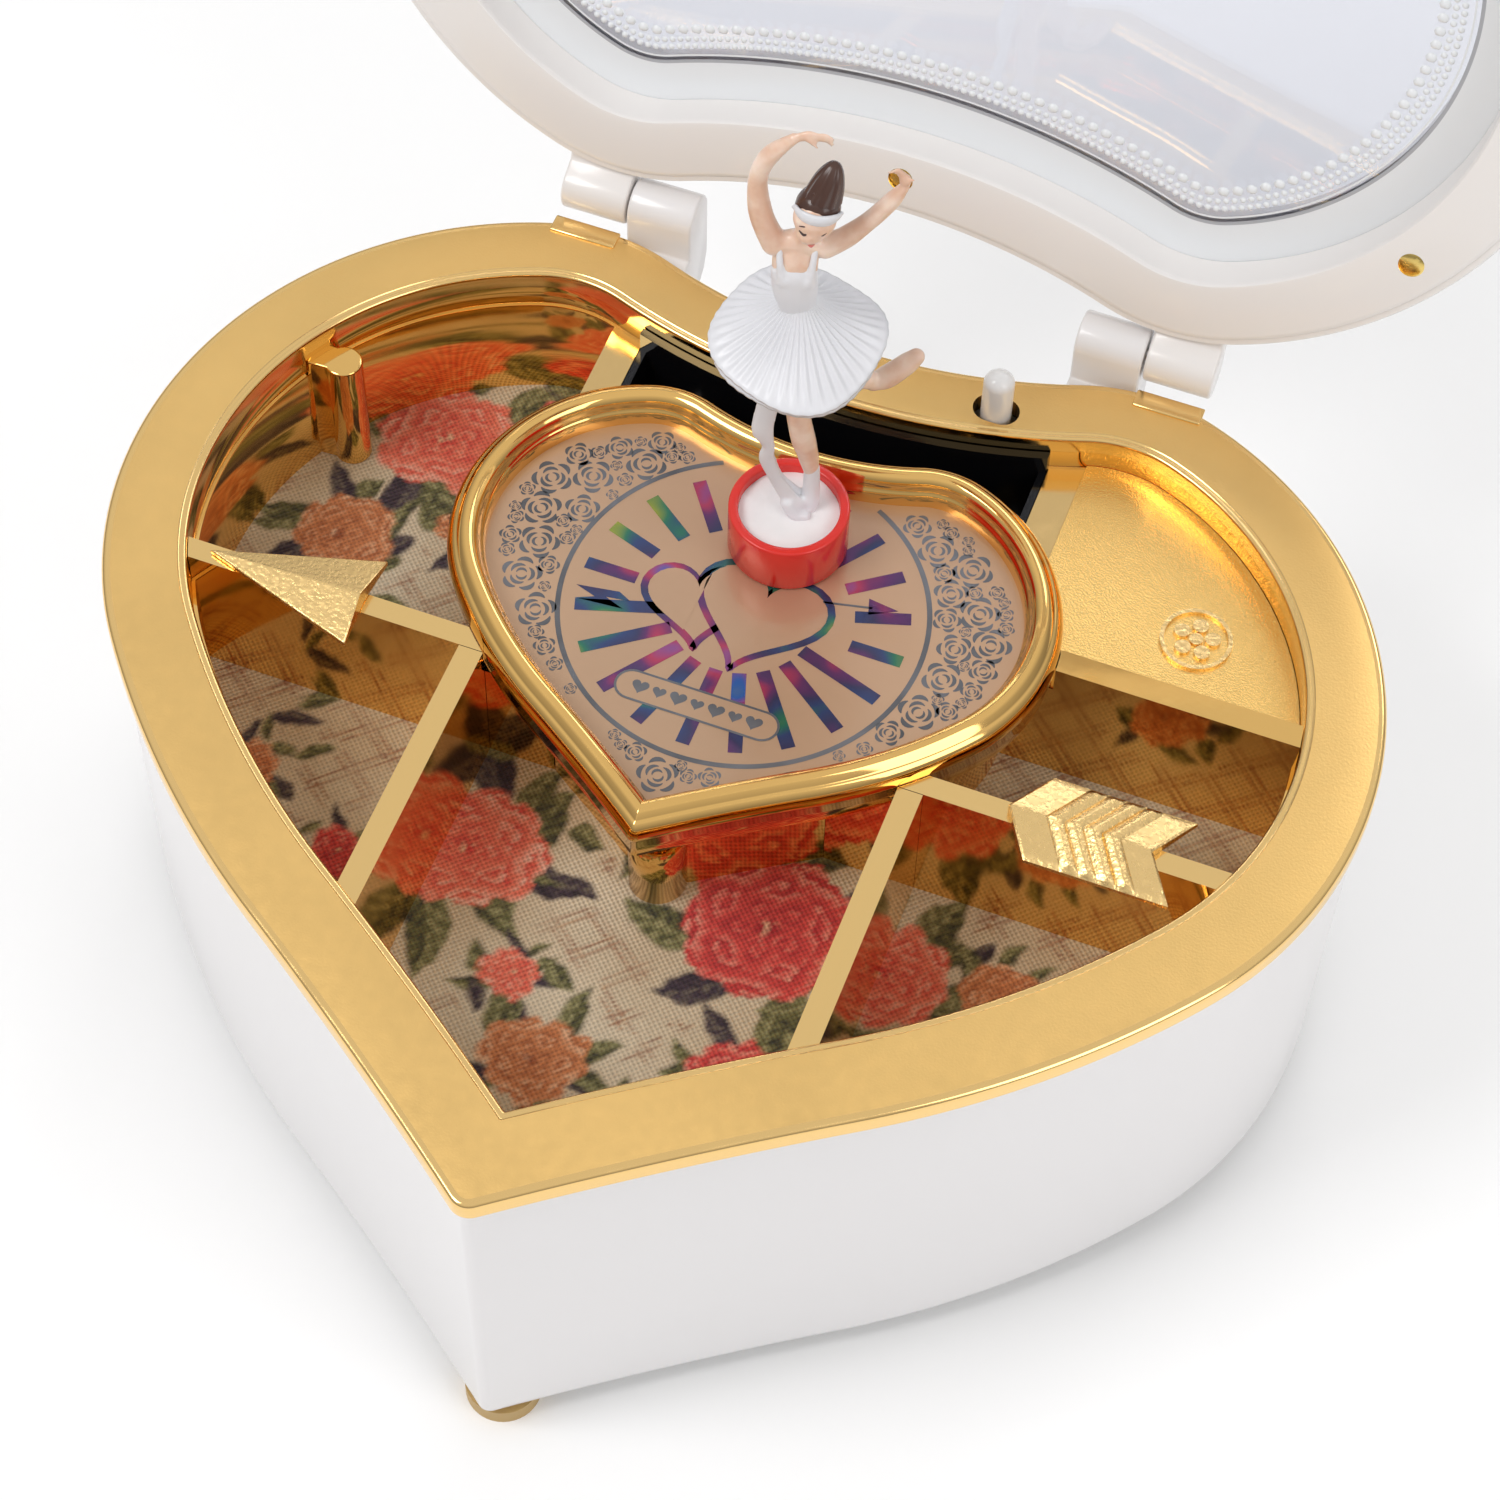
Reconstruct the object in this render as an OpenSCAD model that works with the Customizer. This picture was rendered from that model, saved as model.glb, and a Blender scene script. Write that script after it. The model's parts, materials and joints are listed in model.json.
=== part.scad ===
// Heart-shaped wind-up music box with an open lid and a turning dancer.
// The origin is on the table, under the axis of the stage. +Z is up, the tip of the heart
// points to -Y, and the lid hinges are at the back. The lid is drawn open, as it rests.

/* [Heart outline] */
// Half of the width across the two lobes
half_w = 92; // [88:0.5:96]
// Radius of the large arc round each lobe
lobe_r = 59.3; // [58:0.1:60]
// Radius of the small arc at the back of each lobe
shoulder_r = 30; // [28:0.5:31]
// Radius of the long arc along each side
side_r = 150; // [145:1:155]
// Radius of the slightly hollow arc that runs into the tip
waist_r = 700; // [680:5:720]
// Rounding of the tip
tip_r = 3; // [2:0.5:4]

/* [Body] */
// Height of the feet
foot_h = 4; // [3:0.5:4.5]
// Height of the top of the gold rim above the table
rim_top = 72; // [72:0.5:74]
// Thickness of the gold rim
rim_t = 3; // [2.5:0.5:3.5]
// Width of the gold rim, from its edge to the compartments
rim_w = 11.5; // [11:0.5:12]
// Thickness of the white wall
wall_t = 2.4; // [2:0.2:2.6]
// Height of the fabric floor of the compartments
floor_top = 46.4; // [46:0.2:47]

/* [Stage] */
// Width of the stage frame against the outline of the box
stage_k = 0.485; // [0.475:0.005:0.49]
// Length of the stage frame against that outline
stage_long = 0.97; // [0.96:0.005:0.98]
// How far the stage frame is moved back
stage_dy = 6; // [5.8:0.1:6.2]
// Width of the polished frame round the stage
bezel_w = 5.5; // [5:0.5:6]
// Height of the stage above the table
stage_top = 70; // [69.5:0.5:70.5]

/* [Lid] */
// Angle between the closed lid and the open lid
lid_open = 105; // [102:1:106]
// Height of the hinge axis
hinge_z = 74.5; // [74.5:0.5:75]
// Distance of the hinge axis behind the axis of the stage
hinge_y = 62.5; // [62.5:0.5:63.5]
// Radius of the hinge barrels
barrel_r = 3.8; // [3.5:0.1:3.8]

/* [Figure] */
// Distance between the figure's axis and the axis of the stage
orbit_r = 14.6; // [14.4:0.1:14.6]
// Turn of the figure's rest position from straight back
orbit_turn = -8; // [-20:1:20]
// Radius of the figure's red base
base_r = 8.6; // [8:0.1:9]

/* [Movement] */
// Position of the spring barrel and the key on the X axis
barrel_x = 24; // [24:24]
// Number of pins along one line of the cylinder
comb_teeth = 18; // [12:1:18]

/* [Hidden] */
eps = 0.01;
$fn = 48;

// ---- heart outline -------------------------------------------------------
lobe_c = [half_w - lobe_r, 0];
lobe_to = 70;
shoulder_to = 110;
side_from = -38;
waist_from = -57;
shoulder_c = lobe_c + (lobe_r - shoulder_r) * [cos(lobe_to), sin(lobe_to)];
side_c = lobe_c + (lobe_r - side_r) * [cos(side_from), sin(side_from)];
waist_c = side_c + (side_r + waist_r) * [cos(waist_from), sin(waist_from)];
cleft_reach = shoulder_c[0] / cos(180 - shoulder_to);
cleft_c = [0, shoulder_c[1] + cleft_reach * sin(shoulder_to)];
cleft_r = cleft_reach - shoulder_r;
tip_turn = 180 - acos(waist_c[0] / (waist_r + tip_r));
tip_c = [0, waist_c[1] + sqrt(pow(waist_r + tip_r, 2) - pow(waist_c[0], 2))];

function arc(c, r, from, to, n) =
    [for (i = [0:n]) let (t = from + (to - from) * i / n) c + r * [cos(t), sin(t)]];
// where the hollow side arc, moved in by d, meets the middle line
function sharp_turn(d) = 180 - acos(waist_c[0] / (waist_r + d));
// the right half of the outline, moved in by d, from the tip to the cleft
function half_heart(d) = concat(
    d < tip_r ? arc(tip_c, tip_r - d, -90, tip_turn - 180, 5) : [],
    arc(waist_c, waist_r + d, d < tip_r ? tip_turn - 0.5 : sharp_turn(d), waist_from + 180, 5),
    [for (p = arc(side_c, side_r - d, waist_from, side_from, 8)) if (p[1] < 1000) p],
    arc(lobe_c, lobe_r - d, side_from + 3, lobe_to, 28),
    arc(shoulder_c, shoulder_r - d, lobe_to + 4, shoulder_to, 9),
    arc(cleft_c, cleft_r + d, shoulder_to - 180 - 2, -90, 8));
function keep_apart(pts) = [for (i = [0:len(pts) - 1])
    if (i == 0 || norm(pts[i] - pts[i - 1]) > 0.02) pts[i]];
function heart(d, k = 1, dy = 0) =
    let (h = keep_apart(half_heart(d / k)), n = len(h))
    [for (i = [0:2 * n - 3])
        let (p = i < n ? h[i] : [-h[2 * n - 2 - i][0], h[2 * n - 2 - i][1]])
        [k * p[0], k * p[1] + dy]];

// outlines that several pieces share
rim_dy = 1;
module outer(d) { polygon(heart(d)); }
module inner(d) { polygon(heart(rim_w + d, 1, rim_dy)); }
module stage(d) { translate([0, stage_dy]) scale([1, stage_long]) polygon(heart(d, stage_k)); }
module slab(z0, z1) { translate([0, 0, z0]) linear_extrude(z1 - z0) children(); }
module disc(r, z0, z1) { translate([0, 0, z0]) cylinder(r = r, h = z1 - z0); }
module block(lo, hi) { translate(lo) cube(hi - lo); }

// ---- heights -------------------------------------------------------------
shell_in = 1;
base_t = 2.5;
card_t = 1;
fabric_t = 0.8;
rim_bot = rim_top - rim_t;
base_top = foot_h + base_t;
fabric_bot = floor_top - fabric_t;
card_bot = fabric_bot - card_t;
low_top = rim_top - 6.5;
wall_top = rim_top - 1;
panel_bot = stage_top - 1.6;
bezel_top = rim_top + 3;
bezel_bot = rim_top - 5.6;
tower_in = 6.5;
tower_wall = 1.5;

// ---- lid: drawn closed, then swung open ------------------------------------
module opened() {
    translate([0, hinge_y, hinge_z]) rotate([-lid_open, 0, 0])
        translate([0, -hinge_y, -hinge_z]) children();
}
lid_bot = rim_top + 0.4;
lid_top = rim_top + 12;
knuckle_x = [30, 40.3];
lid_knuckle_x = [40.7, 51];
pin_r = 1;
module along_x(x0, x1, r) {
    translate([x0, hinge_y, hinge_z]) rotate([0, 90, 0]) cylinder(r = r, h = x1 - x0);
}
module both_sides() { children(); mirror([1, 0, 0]) children(); }

// ---- body ------------------------------------------------------------------
module body_shell() color("white") {
    difference() {
        union() {
            slab(foot_h, rim_bot) difference() { outer(shell_in); outer(shell_in + wall_t); }
            both_sides() {
                difference() {
                    block([knuckle_x[0], 50, 57], [knuckle_x[1], hinge_y + barrel_r, rim_bot]);
                    slab(56, rim_bot + 1) outer(shell_in + wall_t / 2);
                    translate([knuckle_x[0] - 1, hinge_y + barrel_r, 57])
                        rotate([0, 90, 0]) cylinder(r = 7, h = 13);
                }
                block([knuckle_x[0], 58, rim_bot], [knuckle_x[1], hinge_y + barrel_r, hinge_z]);
                along_x(knuckle_x[0], knuckle_x[1], barrel_r);
            }
            for (p = base_screw_at) translate(p) disc(4.2, base_top, boss_top);
            for (p = base_screw_at) boss_web(p);
        }
        both_sides() along_x(knuckle_x[0] - 1, knuckle_x[1] + 1, pin_r);
        for (p = base_screw_at) translate(p) disc(1.4, base_top - 1, boss_top + 1);
    }
}
// bosses for the base screws stand against the wall
boss_top = 15.2;
base_screw_at = [[-34.8, -63.3, 0], [34.8, -63.3, 0], [-81.8, 10.8, 0], [81.8, 10.8, 0],
    [-42, 48.5, 0], [42, 48.5, 0]];
module boss_web(p) {
    intersection() {
        slab(base_top, boss_top) difference() { outer(shell_in + 0.5); outer(shell_in + wall_t + 8); }
        translate(p) disc(7.5, base_top, boss_top);
    }
}
key_well_r = 20;
well_top = 13;
well_roof = 14.6;
bed_post_at = [[-4, -23, 0], [54, -23, 0], [-4, 40, 0], [59, 38.5, 0]];
bed_bot = 15.5;
bed_top = 17.5;
module base_plate() color("whitesmoke") {
    difference() {
        union() {
            slab(foot_h, base_top) outer(shell_in + wall_t + 0.2);
            translate([barrel_x, 0, 0]) disc(key_well_r + 1.6, foot_h, well_roof);
            for (p = bed_post_at) translate(p) disc(4, base_top, bed_bot);
        }
        translate([barrel_x, 0, 0]) disc(key_well_r, foot_h - 1, well_top);
        translate([barrel_x, 0, 0]) disc(3, well_top - 1, well_roof + 1);
        for (p = bed_post_at) translate(p) disc(1.2, base_top + 1, bed_bot + 1);
        for (p = base_screw_at) translate(p) disc(1.6, foot_h - 1, base_top + 1);
        for (p = base_screw_at) translate(p) disc(3.2, foot_h - 1, foot_h + 1.2);
    }
}
module base_screws() color("gold") {
    for (p = base_screw_at) translate(p) {
        disc(3, foot_h + 0.1, foot_h + 1.2);
        disc(1.3, foot_h + 1.2, boss_top - 1);
    }
}
foot_at = [[0, -92, 0], [-68, -14, 0], [68, -14, 0], [0, 38, 0]];
module feet() color("goldenrod") {
    for (p = foot_at) translate(p) {
        disc(5.5, 0, foot_h - 1);
        disc(4.6, foot_h - 1, foot_h);
    }
    // a small pad in the middle carries the weight of the movement
    disc(2.2, 0, foot_h);
}

// ---- gold tray --------------------------------------------------------------
plunger_at = [22.5, 46.5, 0];
plunger_r = 2.3;
slot_half = 1;
module tray_rim() color("gold") {
    difference() {
        union() {
            slab(rim_bot, rim_top) difference() { outer(0); inner(0); }
            // small raised stops under the lid knuckles
            both_sides() intersection() {
                slab(rim_top - eps, rim_top + 0.9) outer(0);
                block([lid_knuckle_x[0], 53.6, rim_top - eps], [lid_knuckle_x[1], 58, rim_top + 0.9]);
            }
        }
        translate([0, 0, rim_bot - 1]) linear_extrude(rim_t + 3) for (s = [-slot_half, slot_half])
            translate([plunger_at[0] + s, plunger_at[1]]) circle(r = plunger_r + 0.25);
        block([plunger_at[0] - slot_half, plunger_at[1] - plunger_r - 0.25, rim_bot - 1],
              [plunger_at[0] + slot_half, plunger_at[1] + plunger_r + 0.25, rim_top + 2]);
    }
}
ledge_h = 1;
module tray_wall() color("gold") {
    difference() {
        slab(card_bot - ledge_h, rim_bot) inner(-1.4);
        slab(card_bot, rim_bot + 1) inner(0);
        slab(card_bot - ledge_h - 1, card_bot + 1) inner(2.5);
    }
    // screw post that stands against the left wall
    difference() {
        translate([-71, 23, 0]) union() {
            disc(2.8, floor_top, rim_bot - 1);
            block([-6, -1, floor_top], [0, 1, rim_bot - 1]);
        }
        slab(card_bot, rim_top) difference() { square(400, center = true); inner(0); }
    }
}
column_r = 4.2;
lug_z = 50;
bridge_z = 54;
module stage_tower() color("gold") {
    difference() {
        union() {
            slab(card_bot - ledge_h, panel_bot) stage(tower_in);
            translate([0, column_y, 0]) disc(column_r, card_bot - ledge_h, bezel_bot - 0.1);
        }
        difference() {
            slab(card_bot - ledge_h - 1, panel_bot + 1) stage(tower_in + tower_wall);
            both_sides() block([28, -6, lug_z], [40, 6, bridge_z]);
        }
    }
}
column_y = stage_dy + stage_long * (stage_k * (tip_c[1] - tip_r) + tower_in * 1.3);

// the compartments' walls stand on the fabric and stop at the tower and under the stage frame
module between_walls(z1) {
    difference() {
        intersection() {
            slab(floor_top + 0.1, z1) inner(0.1);
            children();
        }
        slab(floor_top, rim_top + 1) stage(tower_in - 0.1);
        slab(bezel_bot - 0.1, rim_top + 1) stage(-0.1);
        translate([0, column_y, 0]) disc(column_r + 0.1, floor_top, bezel_bot);
    }
}
front_div_x = 32.4;
back_div_x = 34.5;
div_t = 3.6;
back_div_t = 5;
shaft_y = -17.9;
shaft_t = 3.2;
module front_divider(s) {
    between_walls(wall_top)
        block([s * front_div_x - div_t / 2, -90, 0], [s * front_div_x + div_t / 2, shaft_y - shaft_t / 2 - 0.1, 90]);
}
module back_divider(s) {
    between_walls(low_top)
        block([s * back_div_x - back_div_t / 2, 12, 0], [s * back_div_x + back_div_t / 2, 60, 90]);
}
module divider_front_left() color("gold") front_divider(-1);
module divider_front_right() color("gold") front_divider(1);
module divider_back_left() color("gold") back_divider(-1);
module divider_back_right() color("gold") back_divider(1);
module arrow_shaft() color("gold") {
    between_walls(wall_top) both_sides()
        block([20, shaft_y - shaft_t / 2, 0], [90, shaft_y + shaft_t / 2, 90]);
}
head_tip_x = -73;
head_back_x = -48.5;
head_half = 7.5;
module arrow_head() color("gold") {
    translate([0, shaft_y, wall_top + 0.05]) hull() {
        linear_extrude(0.8) polygon([[head_tip_x, 0], [head_back_x, head_half], [head_back_x, -head_half]]);
        linear_extrude(2.6) polygon([[head_tip_x + 3, 0], [head_back_x, 0.4], [head_back_x, -0.4]]);
    }
}
module arrow_fletching() color("gold") {
    translate([0, shaft_y, wall_top + 0.05]) difference() {
        hull() {
            linear_extrude(0.8) polygon([[45.8, 0], [50, 7], [71, 7], [71, -7], [50, -7]]);
            linear_extrude(2.2) polygon([[48, 0.4], [70, 0.4], [70, -0.4], [48, -0.4]]);
        }
        translate([0, 0, -1]) linear_extrude(5) polygon([[66.5, 0], [71.1, 7.8], [72, 0], [71.1, -7.8]]);
        // four chevron grooves
        for (i = [0:3]) translate([55 + 3.2 * i, 0, 0]) for (s = [-1, 1])
            translate([0, 0, 1.4]) linear_extrude(2) polygon([[0, 0], [0.8, 0], [4.8, s * 7.2], [4, s * 7.2]]);
    }
}
lip_y = [6.5, 10.1];
shelf_z = 66;
module shelf() color("gold") {
    between_walls(wall_top) block([30, lip_y[0], 0], [90, lip_y[1], 90]);
    difference() {
        intersection() {
            slab(shelf_z - 2, shelf_z) inner(0.1);
            block([back_div_x + back_div_t / 2 + 0.1, lip_y[1], 0], [90, 60, 90]);
        }
        slab(shelf_z - 3, shelf_z + 1) stage(-0.1);
    }
}
emblem_at = [61, 22];
module shelf_emblem() color("gold") {
    translate([emblem_at[0], emblem_at[1], shelf_z + 0.02]) {
        difference() { disc(5.2, 0, 0.5); disc(4.6, -1, 1); }
        for (a = [0:72:288]) rotate(a + 90) translate([2.4, 0, 0]) disc(1.15, 0, 0.5);
        disc(1, 0, 0.5);
    }
}
rear_floor = 56;
module rear_cover() color("black") {
    difference() {
        intersection() {
            slab(rear_floor - 1.5, rim_bot) inner(0.2);
            block([-back_div_x + back_div_t / 2 + 0.15, 10, 0], [back_div_x - back_div_t / 2 - 0.15, 60, 90]);
        }
        difference() {
            slab(rear_floor, rim_top) inner(1.4);
            block([-back_div_x, 0, 0], [-back_div_x + back_div_t / 2 + 1.2, 60, low_top]);
            block([back_div_x - back_div_t / 2 - 1.2, 0, 0], [back_div_x, 60, low_top]);
        }
        slab(rear_floor - 2, rim_top) stage(tower_in - 0.15);
        slab(bezel_bot - 0.15, rim_top + 1) stage(-0.15);
    }
}
module lining_card() color("tan") {
    slab(card_bot + 0.05, fabric_bot) difference() { inner(0.2); stage(tower_in - 0.15); floor_column(); }
}
module fabric_lining() color("linen") {
    slab(fabric_bot + 0.02, floor_top) difference() { inner(0.2); stage(tower_in - 0.15); floor_column(); }
}
module floor_column() { translate([0, column_y]) circle(r = column_r + 0.15); }

// ---- stage ------------------------------------------------------------------
module stage_bezel() color("gold") {
    difference() {
        union() {
            slab(stage_top + 0.05, bezel_top - 2.2) stage(0);
            slab(bezel_top - 2.2 - eps, bezel_top - 0.8) stage(0.6);
            slab(bezel_top - 0.8 - eps, bezel_top) stage(1.6);
            slab(bezel_bot, stage_top + 0.1) stage(0.6);
        }
        slab(stage_top, bezel_top + 1) stage(bezel_w);
        slab(bezel_bot - 1, stage_top + 0.05) stage(3.4);
        slab(bezel_top - 1.2, bezel_top + 1) stage(bezel_w - 1);
    }
}
module stage_panel() color("peru") { slab(panel_bot + 0.02, stage_top) stage(3.6); }

// ---- hinge ------------------------------------------------------------------
module hinge_pins() color("silver") {
    both_sides() along_x(knuckle_x[0] + 0.6, lid_knuckle_x[1] - 0.6, pin_r);
}

// ---- lid --------------------------------------------------------------------
lid_skin = 2;
lid_flange_w = 18;
window_z = [rim_top + 7, rim_top + 9];
ring_w = 11.5;
lid_screw_at = [[0, 44, 0], [74, 33.7, 0], [-80.2, -24.1, 0], [80.2, -24.1, 0],
    [-35.1, -67.8, 0], [35.1, -67.8, 0]];
module lid_frame() color("ivory") opened() {
    difference() {
        union() {
            slab(lid_bot + 0.8, lid_top - 2.4) outer(0);
            slab(lid_top - 2.4 - eps, lid_top - 1) outer(0.8);
            slab(lid_top - 1 - eps, lid_top) outer(2.2);
            both_sides() {
                along_x(lid_knuckle_x[0], lid_knuckle_x[1], barrel_r);
                block([lid_knuckle_x[0], 55, hinge_z - 1], [lid_knuckle_x[1], hinge_y, hinge_z + barrel_r]);
            }
        }
        slab(lid_bot, window_z[1]) outer(lid_skin);
        slab(lid_bot, lid_top + 1) polygon(heart(lid_flange_w, 1, rim_dy));
        both_sides() along_x(lid_knuckle_x[0] - 1, lid_knuckle_x[1] + 1, pin_r + 0.05);
        both_sides() block([lid_knuckle_x[0] - 0.5, 53, lid_bot - 1], [lid_knuckle_x[1] + 0.5, 58.3, rim_top + 1.3]);
    }
}
module lid_ring() color("linen") opened() {
    difference() {
        slab(lid_bot, window_z[0] - 0.05) outer(lid_skin + 0.1);
        slab(lid_bot - 1, window_z[0] + 1) polygon(heart(ring_w, 1, rim_dy));
        both_sides() block([lid_knuckle_x[0] - 0.5, 53, lid_bot - 1], [lid_knuckle_x[1] + 0.5, 58.3, rim_top + 1.3]);
        for (p = lid_screw_at) translate(p) disc(2.4, lid_bot - 1, lid_bot + 1.4);
        for (p = lid_screw_at) translate(p) disc(1.1, lid_bot, window_z[0] + 1);
    }
}
module lid_window() color("lightcyan", 0.4) opened() {
    difference() {
        slab(window_z[0], window_z[1] - 0.05) outer(lid_skin + 0.2);
        for (p = lid_screw_at) translate(p) disc(1.2, window_z[0] - 1, window_z[1] + 1);
    }
}
module lid_screws() color("gold") opened() {
    for (p = lid_screw_at) translate(p) {
        disc(2.2, lid_bot + 0.3, lid_bot + 1.4);
        disc(1, lid_bot + 1.4 - eps, window_z[1] - 0.2);
    }
}

// ---- start and stop plunger ---------------------------------------------------
plunger_top = rim_top + 8;
plunger_bot = 41;
wire_r = 0.6;
wire_z = 40;
module plunger() color("white") translate(plunger_at) {
    disc(plunger_r, plunger_bot, plunger_top - plunger_r);
    translate([0, 0, plunger_top - plunger_r]) sphere(r = plunger_r);
}
module stop_wire() color("silver") {
    translate([plunger_at[0], plunger_at[1], wire_z]) {
        disc(1.6, -0.8, 1);
        rotate([0, 90, 0]) cylinder(r = wire_r, h = wire_x + 1 - plunger_at[0]);
    }
    translate([wire_x, plunger_at[1], wire_z]) rotate([90, 0, 0]) cylinder(r = wire_r - 0.1, h = 14);
}
spring_turns = 7;
module plunger_spring() color("silver") {
    translate([plunger_at[0], plunger_at[1], bed_top + 0.05])
        linear_extrude(wire_z - 0.9 - bed_top, twist = -360 * spring_turns, slices = 12 * spring_turns)
            translate([1.5, 0]) circle(r = 0.4, $fn = 6);
}

// ---- movement: gears -----------------------------------------------------------
// a spur gear with straight-flanked teeth and room to run; a tooth points to angle 0
module spur(n, m, h) {
    r = n * m / 2;
    p = 360 / n;
    linear_extrude(h) polygon([for (i = [0:n - 1], q = [[-0.30, -1.15], [-0.20, 0], [-0.09, 0.85],
        [0.09, 0.85], [0.20, 0], [0.30, -1.15]]) (r + q[1] * m) * [cos((i + q[0]) * p), sin((i + q[0]) * p)]]);
}
spur_m = 0.8;
barrel_n = 30;
spindle_n = 30;
gear_z = [18.3, 20.3];
drum_r = 16;
drum_z = [gear_z[1] + 0.6, 26];
cap_z = [26, 27];
crown_n = 40;
crown_m = 0.7;
crown_r = crown_n * crown_m / 2;
crown_face = 1.6;
pinion_n = 12;
pitch_z = 27.75;
train_z = pitch_z + pinion_n * crown_m / 2;
train_m = 0.75;
wheel_n = 28;
gov_n = 10;
gov_x = barrel_x + (wheel_n + gov_n) * train_m / 2;
fine_m = 0.6;
wheel2_n = 30;
fly_n = 10;
// the fly sits 30 degrees below the governor wheel
fly_turn = 30;
fly_gap = (wheel2_n + fly_n) * fine_m / 2;
fly_at = [gov_x + fly_gap * cos(fly_turn), train_z - fly_gap * sin(fly_turn)];
wire_x = fly_at[0] + 0.9;
arbor_r = 1.8;
cyl_r = 6.5;
cyl_y = [20.4, 36.4];
wheel_y = [37.2, 38.8];
wheel2_y = [39.5, 41];
plate_y = [17.6, 19];
plate2_y = [42, 43.4];
axle_r = 1;
run = 0.05;
// turns a piece that is drawn along Z to lie along +Y, at [x, z]
module along_y(x, z, y0) { translate([x, y0, z]) rotate([-90, 0, 0]) children(); }

module movement_bedplate() color("silver") {
    difference() {
        union() {
            block([-9, -28, bed_bot], [63, 45, bed_top]);
            block([plunger_at[0] - 4, 40, bed_bot], [plunger_at[0] + 4, 47.8, bed_top]);
        }
        translate([barrel_x, 0, 0]) disc(arbor_r + run, 0, 30);
        disc(2 + run, 0, 30);
        for (p = bed_post_at) translate(p) disc(1.5, 0, 30);
    }
}
module movement_screws() color("silver") {
    for (p = bed_post_at) translate(p) { disc(2.8, bed_top, bed_top + 1.4); disc(1.15, base_top + 2, bed_top); }
}
plate_top = 36;
module bearing_plate(y, holes) {
    difference() {
        block([barrel_x - 7, y[0], bed_top], [fly_at[0] + 8, y[1], plate_top]);
        for (h = holes) along_y(h[0], h[1], y[0] - 1) cylinder(r = axle_r + run, h = 4);
    }
}
axles = [[barrel_x, train_z], [gov_x, train_z], fly_at];
module bearing_plates() color("silver") {
    difference() {
        bearing_plate(plate_y, axles);
        block([0, plate_y[0] - 1, bed_top - 1], [46.5, plate_y[1] + 1, gear_z[1] + 0.6]);
    }
    difference() {
        bearing_plate(plate2_y, axles);
        // notch for the stop wire
        block([wire_x - 1.2, plate2_y[0] - 1, plate_top - 5.4], [wire_x + 1.2, plate2_y[1] + 1, plate_top + 1]);
    }
}
bridge_bot = 29.6;
module barrel_bridge() color("silver") {
    difference() {
        union() {
            block([barrel_x - 5, -26, bridge_bot], [barrel_x + 5, 5, bridge_bot + 2]);
            block([barrel_x - 5, -26, bed_top], [barrel_x + 5, -21.5, bridge_bot + eps]);
        }
        translate([barrel_x, 0, 0]) disc(arbor_r + run, 25, 35);
    }
}
ratchet_n = 16;
ratchet_r = 6;
ratchet_z = [bridge_bot + 2.4, bridge_bot + 3.8];
module ratchet_wheel() color("goldenrod") translate([barrel_x, 0, 0]) {
    slab(ratchet_z[0], ratchet_z[1]) difference() {
        polygon([for (i = [0:ratchet_n - 1], q = [0, 1]) let (a = 360 / ratchet_n)
            (ratchet_r - 1.1 * q) * [cos(a * (i + 0.12 * q)), sin(a * (i + 0.12 * q))]]);
        circle(r = arbor_r);
    }
}
module click() color("silver") {
    difference() {
        union() {
            translate([barrel_x, -12, 0]) disc(1.8, ratchet_z[0], ratchet_z[1]);
            slab(ratchet_z[0], ratchet_z[1]) polygon([[barrel_x - 1.5, -12], [barrel_x + 1.5, -12],
                [barrel_x + 2.6, -ratchet_r - 0.3], [barrel_x + 1.4, -ratchet_r - 0.3]]);
            translate([barrel_x, -12, 0]) disc(1.2, bridge_bot + 2, ratchet_z[0] + eps);
        }
    }
}
comb_x = [2, barrel_x - cyl_r - 0.9 - 0.35];
comb_z = train_z - 0.5;
tooth_pitch = (cyl_y[1] - cyl_y[0] - 1) / comb_teeth;
module comb() color("lightsteelblue") {
    difference() {
        block([comb_x[0], cyl_y[0], comb_z], [comb_x[1], cyl_y[1], comb_z + 1]);
        for (i = [1:comb_teeth - 1]) block([comb_x[0] + 6, cyl_y[0] + 0.5 + tooth_pitch * i - 0.15, comb_z - 1],
            [comb_x[1] + 1, cyl_y[0] + 0.5 + tooth_pitch * i + 0.15, comb_z + 2]);
        for (y = comb_screw_y) translate([comb_x[0] + 3, y, 0]) disc(1.3, comb_z - 1, comb_z + 2);
    }
}
comb_screw_y = [24, 33];
module comb_base() color("silver") {
    difference() {
        block([comb_x[0], cyl_y[0], bed_top], [comb_x[0] + 6, cyl_y[1], comb_z]);
        for (y = comb_screw_y) translate([comb_x[0] + 3, y, 0]) disc(1.2, comb_z - 6, comb_z + 1);
    }
    for (y = comb_screw_y) translate([comb_x[0] + 3, y, 0]) {
        disc(1.15, comb_z - 5, comb_z + 1.1);
        disc(2.2, comb_z + 1.02, comb_z + 2.2);
    }
}

// ---- movement: moving pieces ------------------------------------------------------
key_bot = foot_h + 1.6;
module winding_key() color("gold") translate([barrel_x, 0, 0]) {
    difference() {
        union() {
            disc(3.2, key_bot, well_top - 0.6);
            for (s = [-1, 1]) translate([s * 8.5, 0, key_bot + 3]) rotate([90, 0, 0])
                scale([1, 0.42, 1]) cylinder(r = 7, h = 2, center = true);
        }
        disc(arbor_r, key_bot + 2.5, 20);
        for (s = [-1, 1]) translate([s * 10.5, 0, key_bot + 3]) rotate([90, 0, 0])
            cylinder(r = 1.5, h = 6, center = true);
    }
}
module winding_arbor() color("silver") translate([barrel_x, 0, 0]) {
    disc(arbor_r, key_bot + 2.5, ratchet_z[1] + 0.6);
    disc(2.6, drum_z[0] + 1.3, drum_z[1] - 0.4);
}
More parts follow.
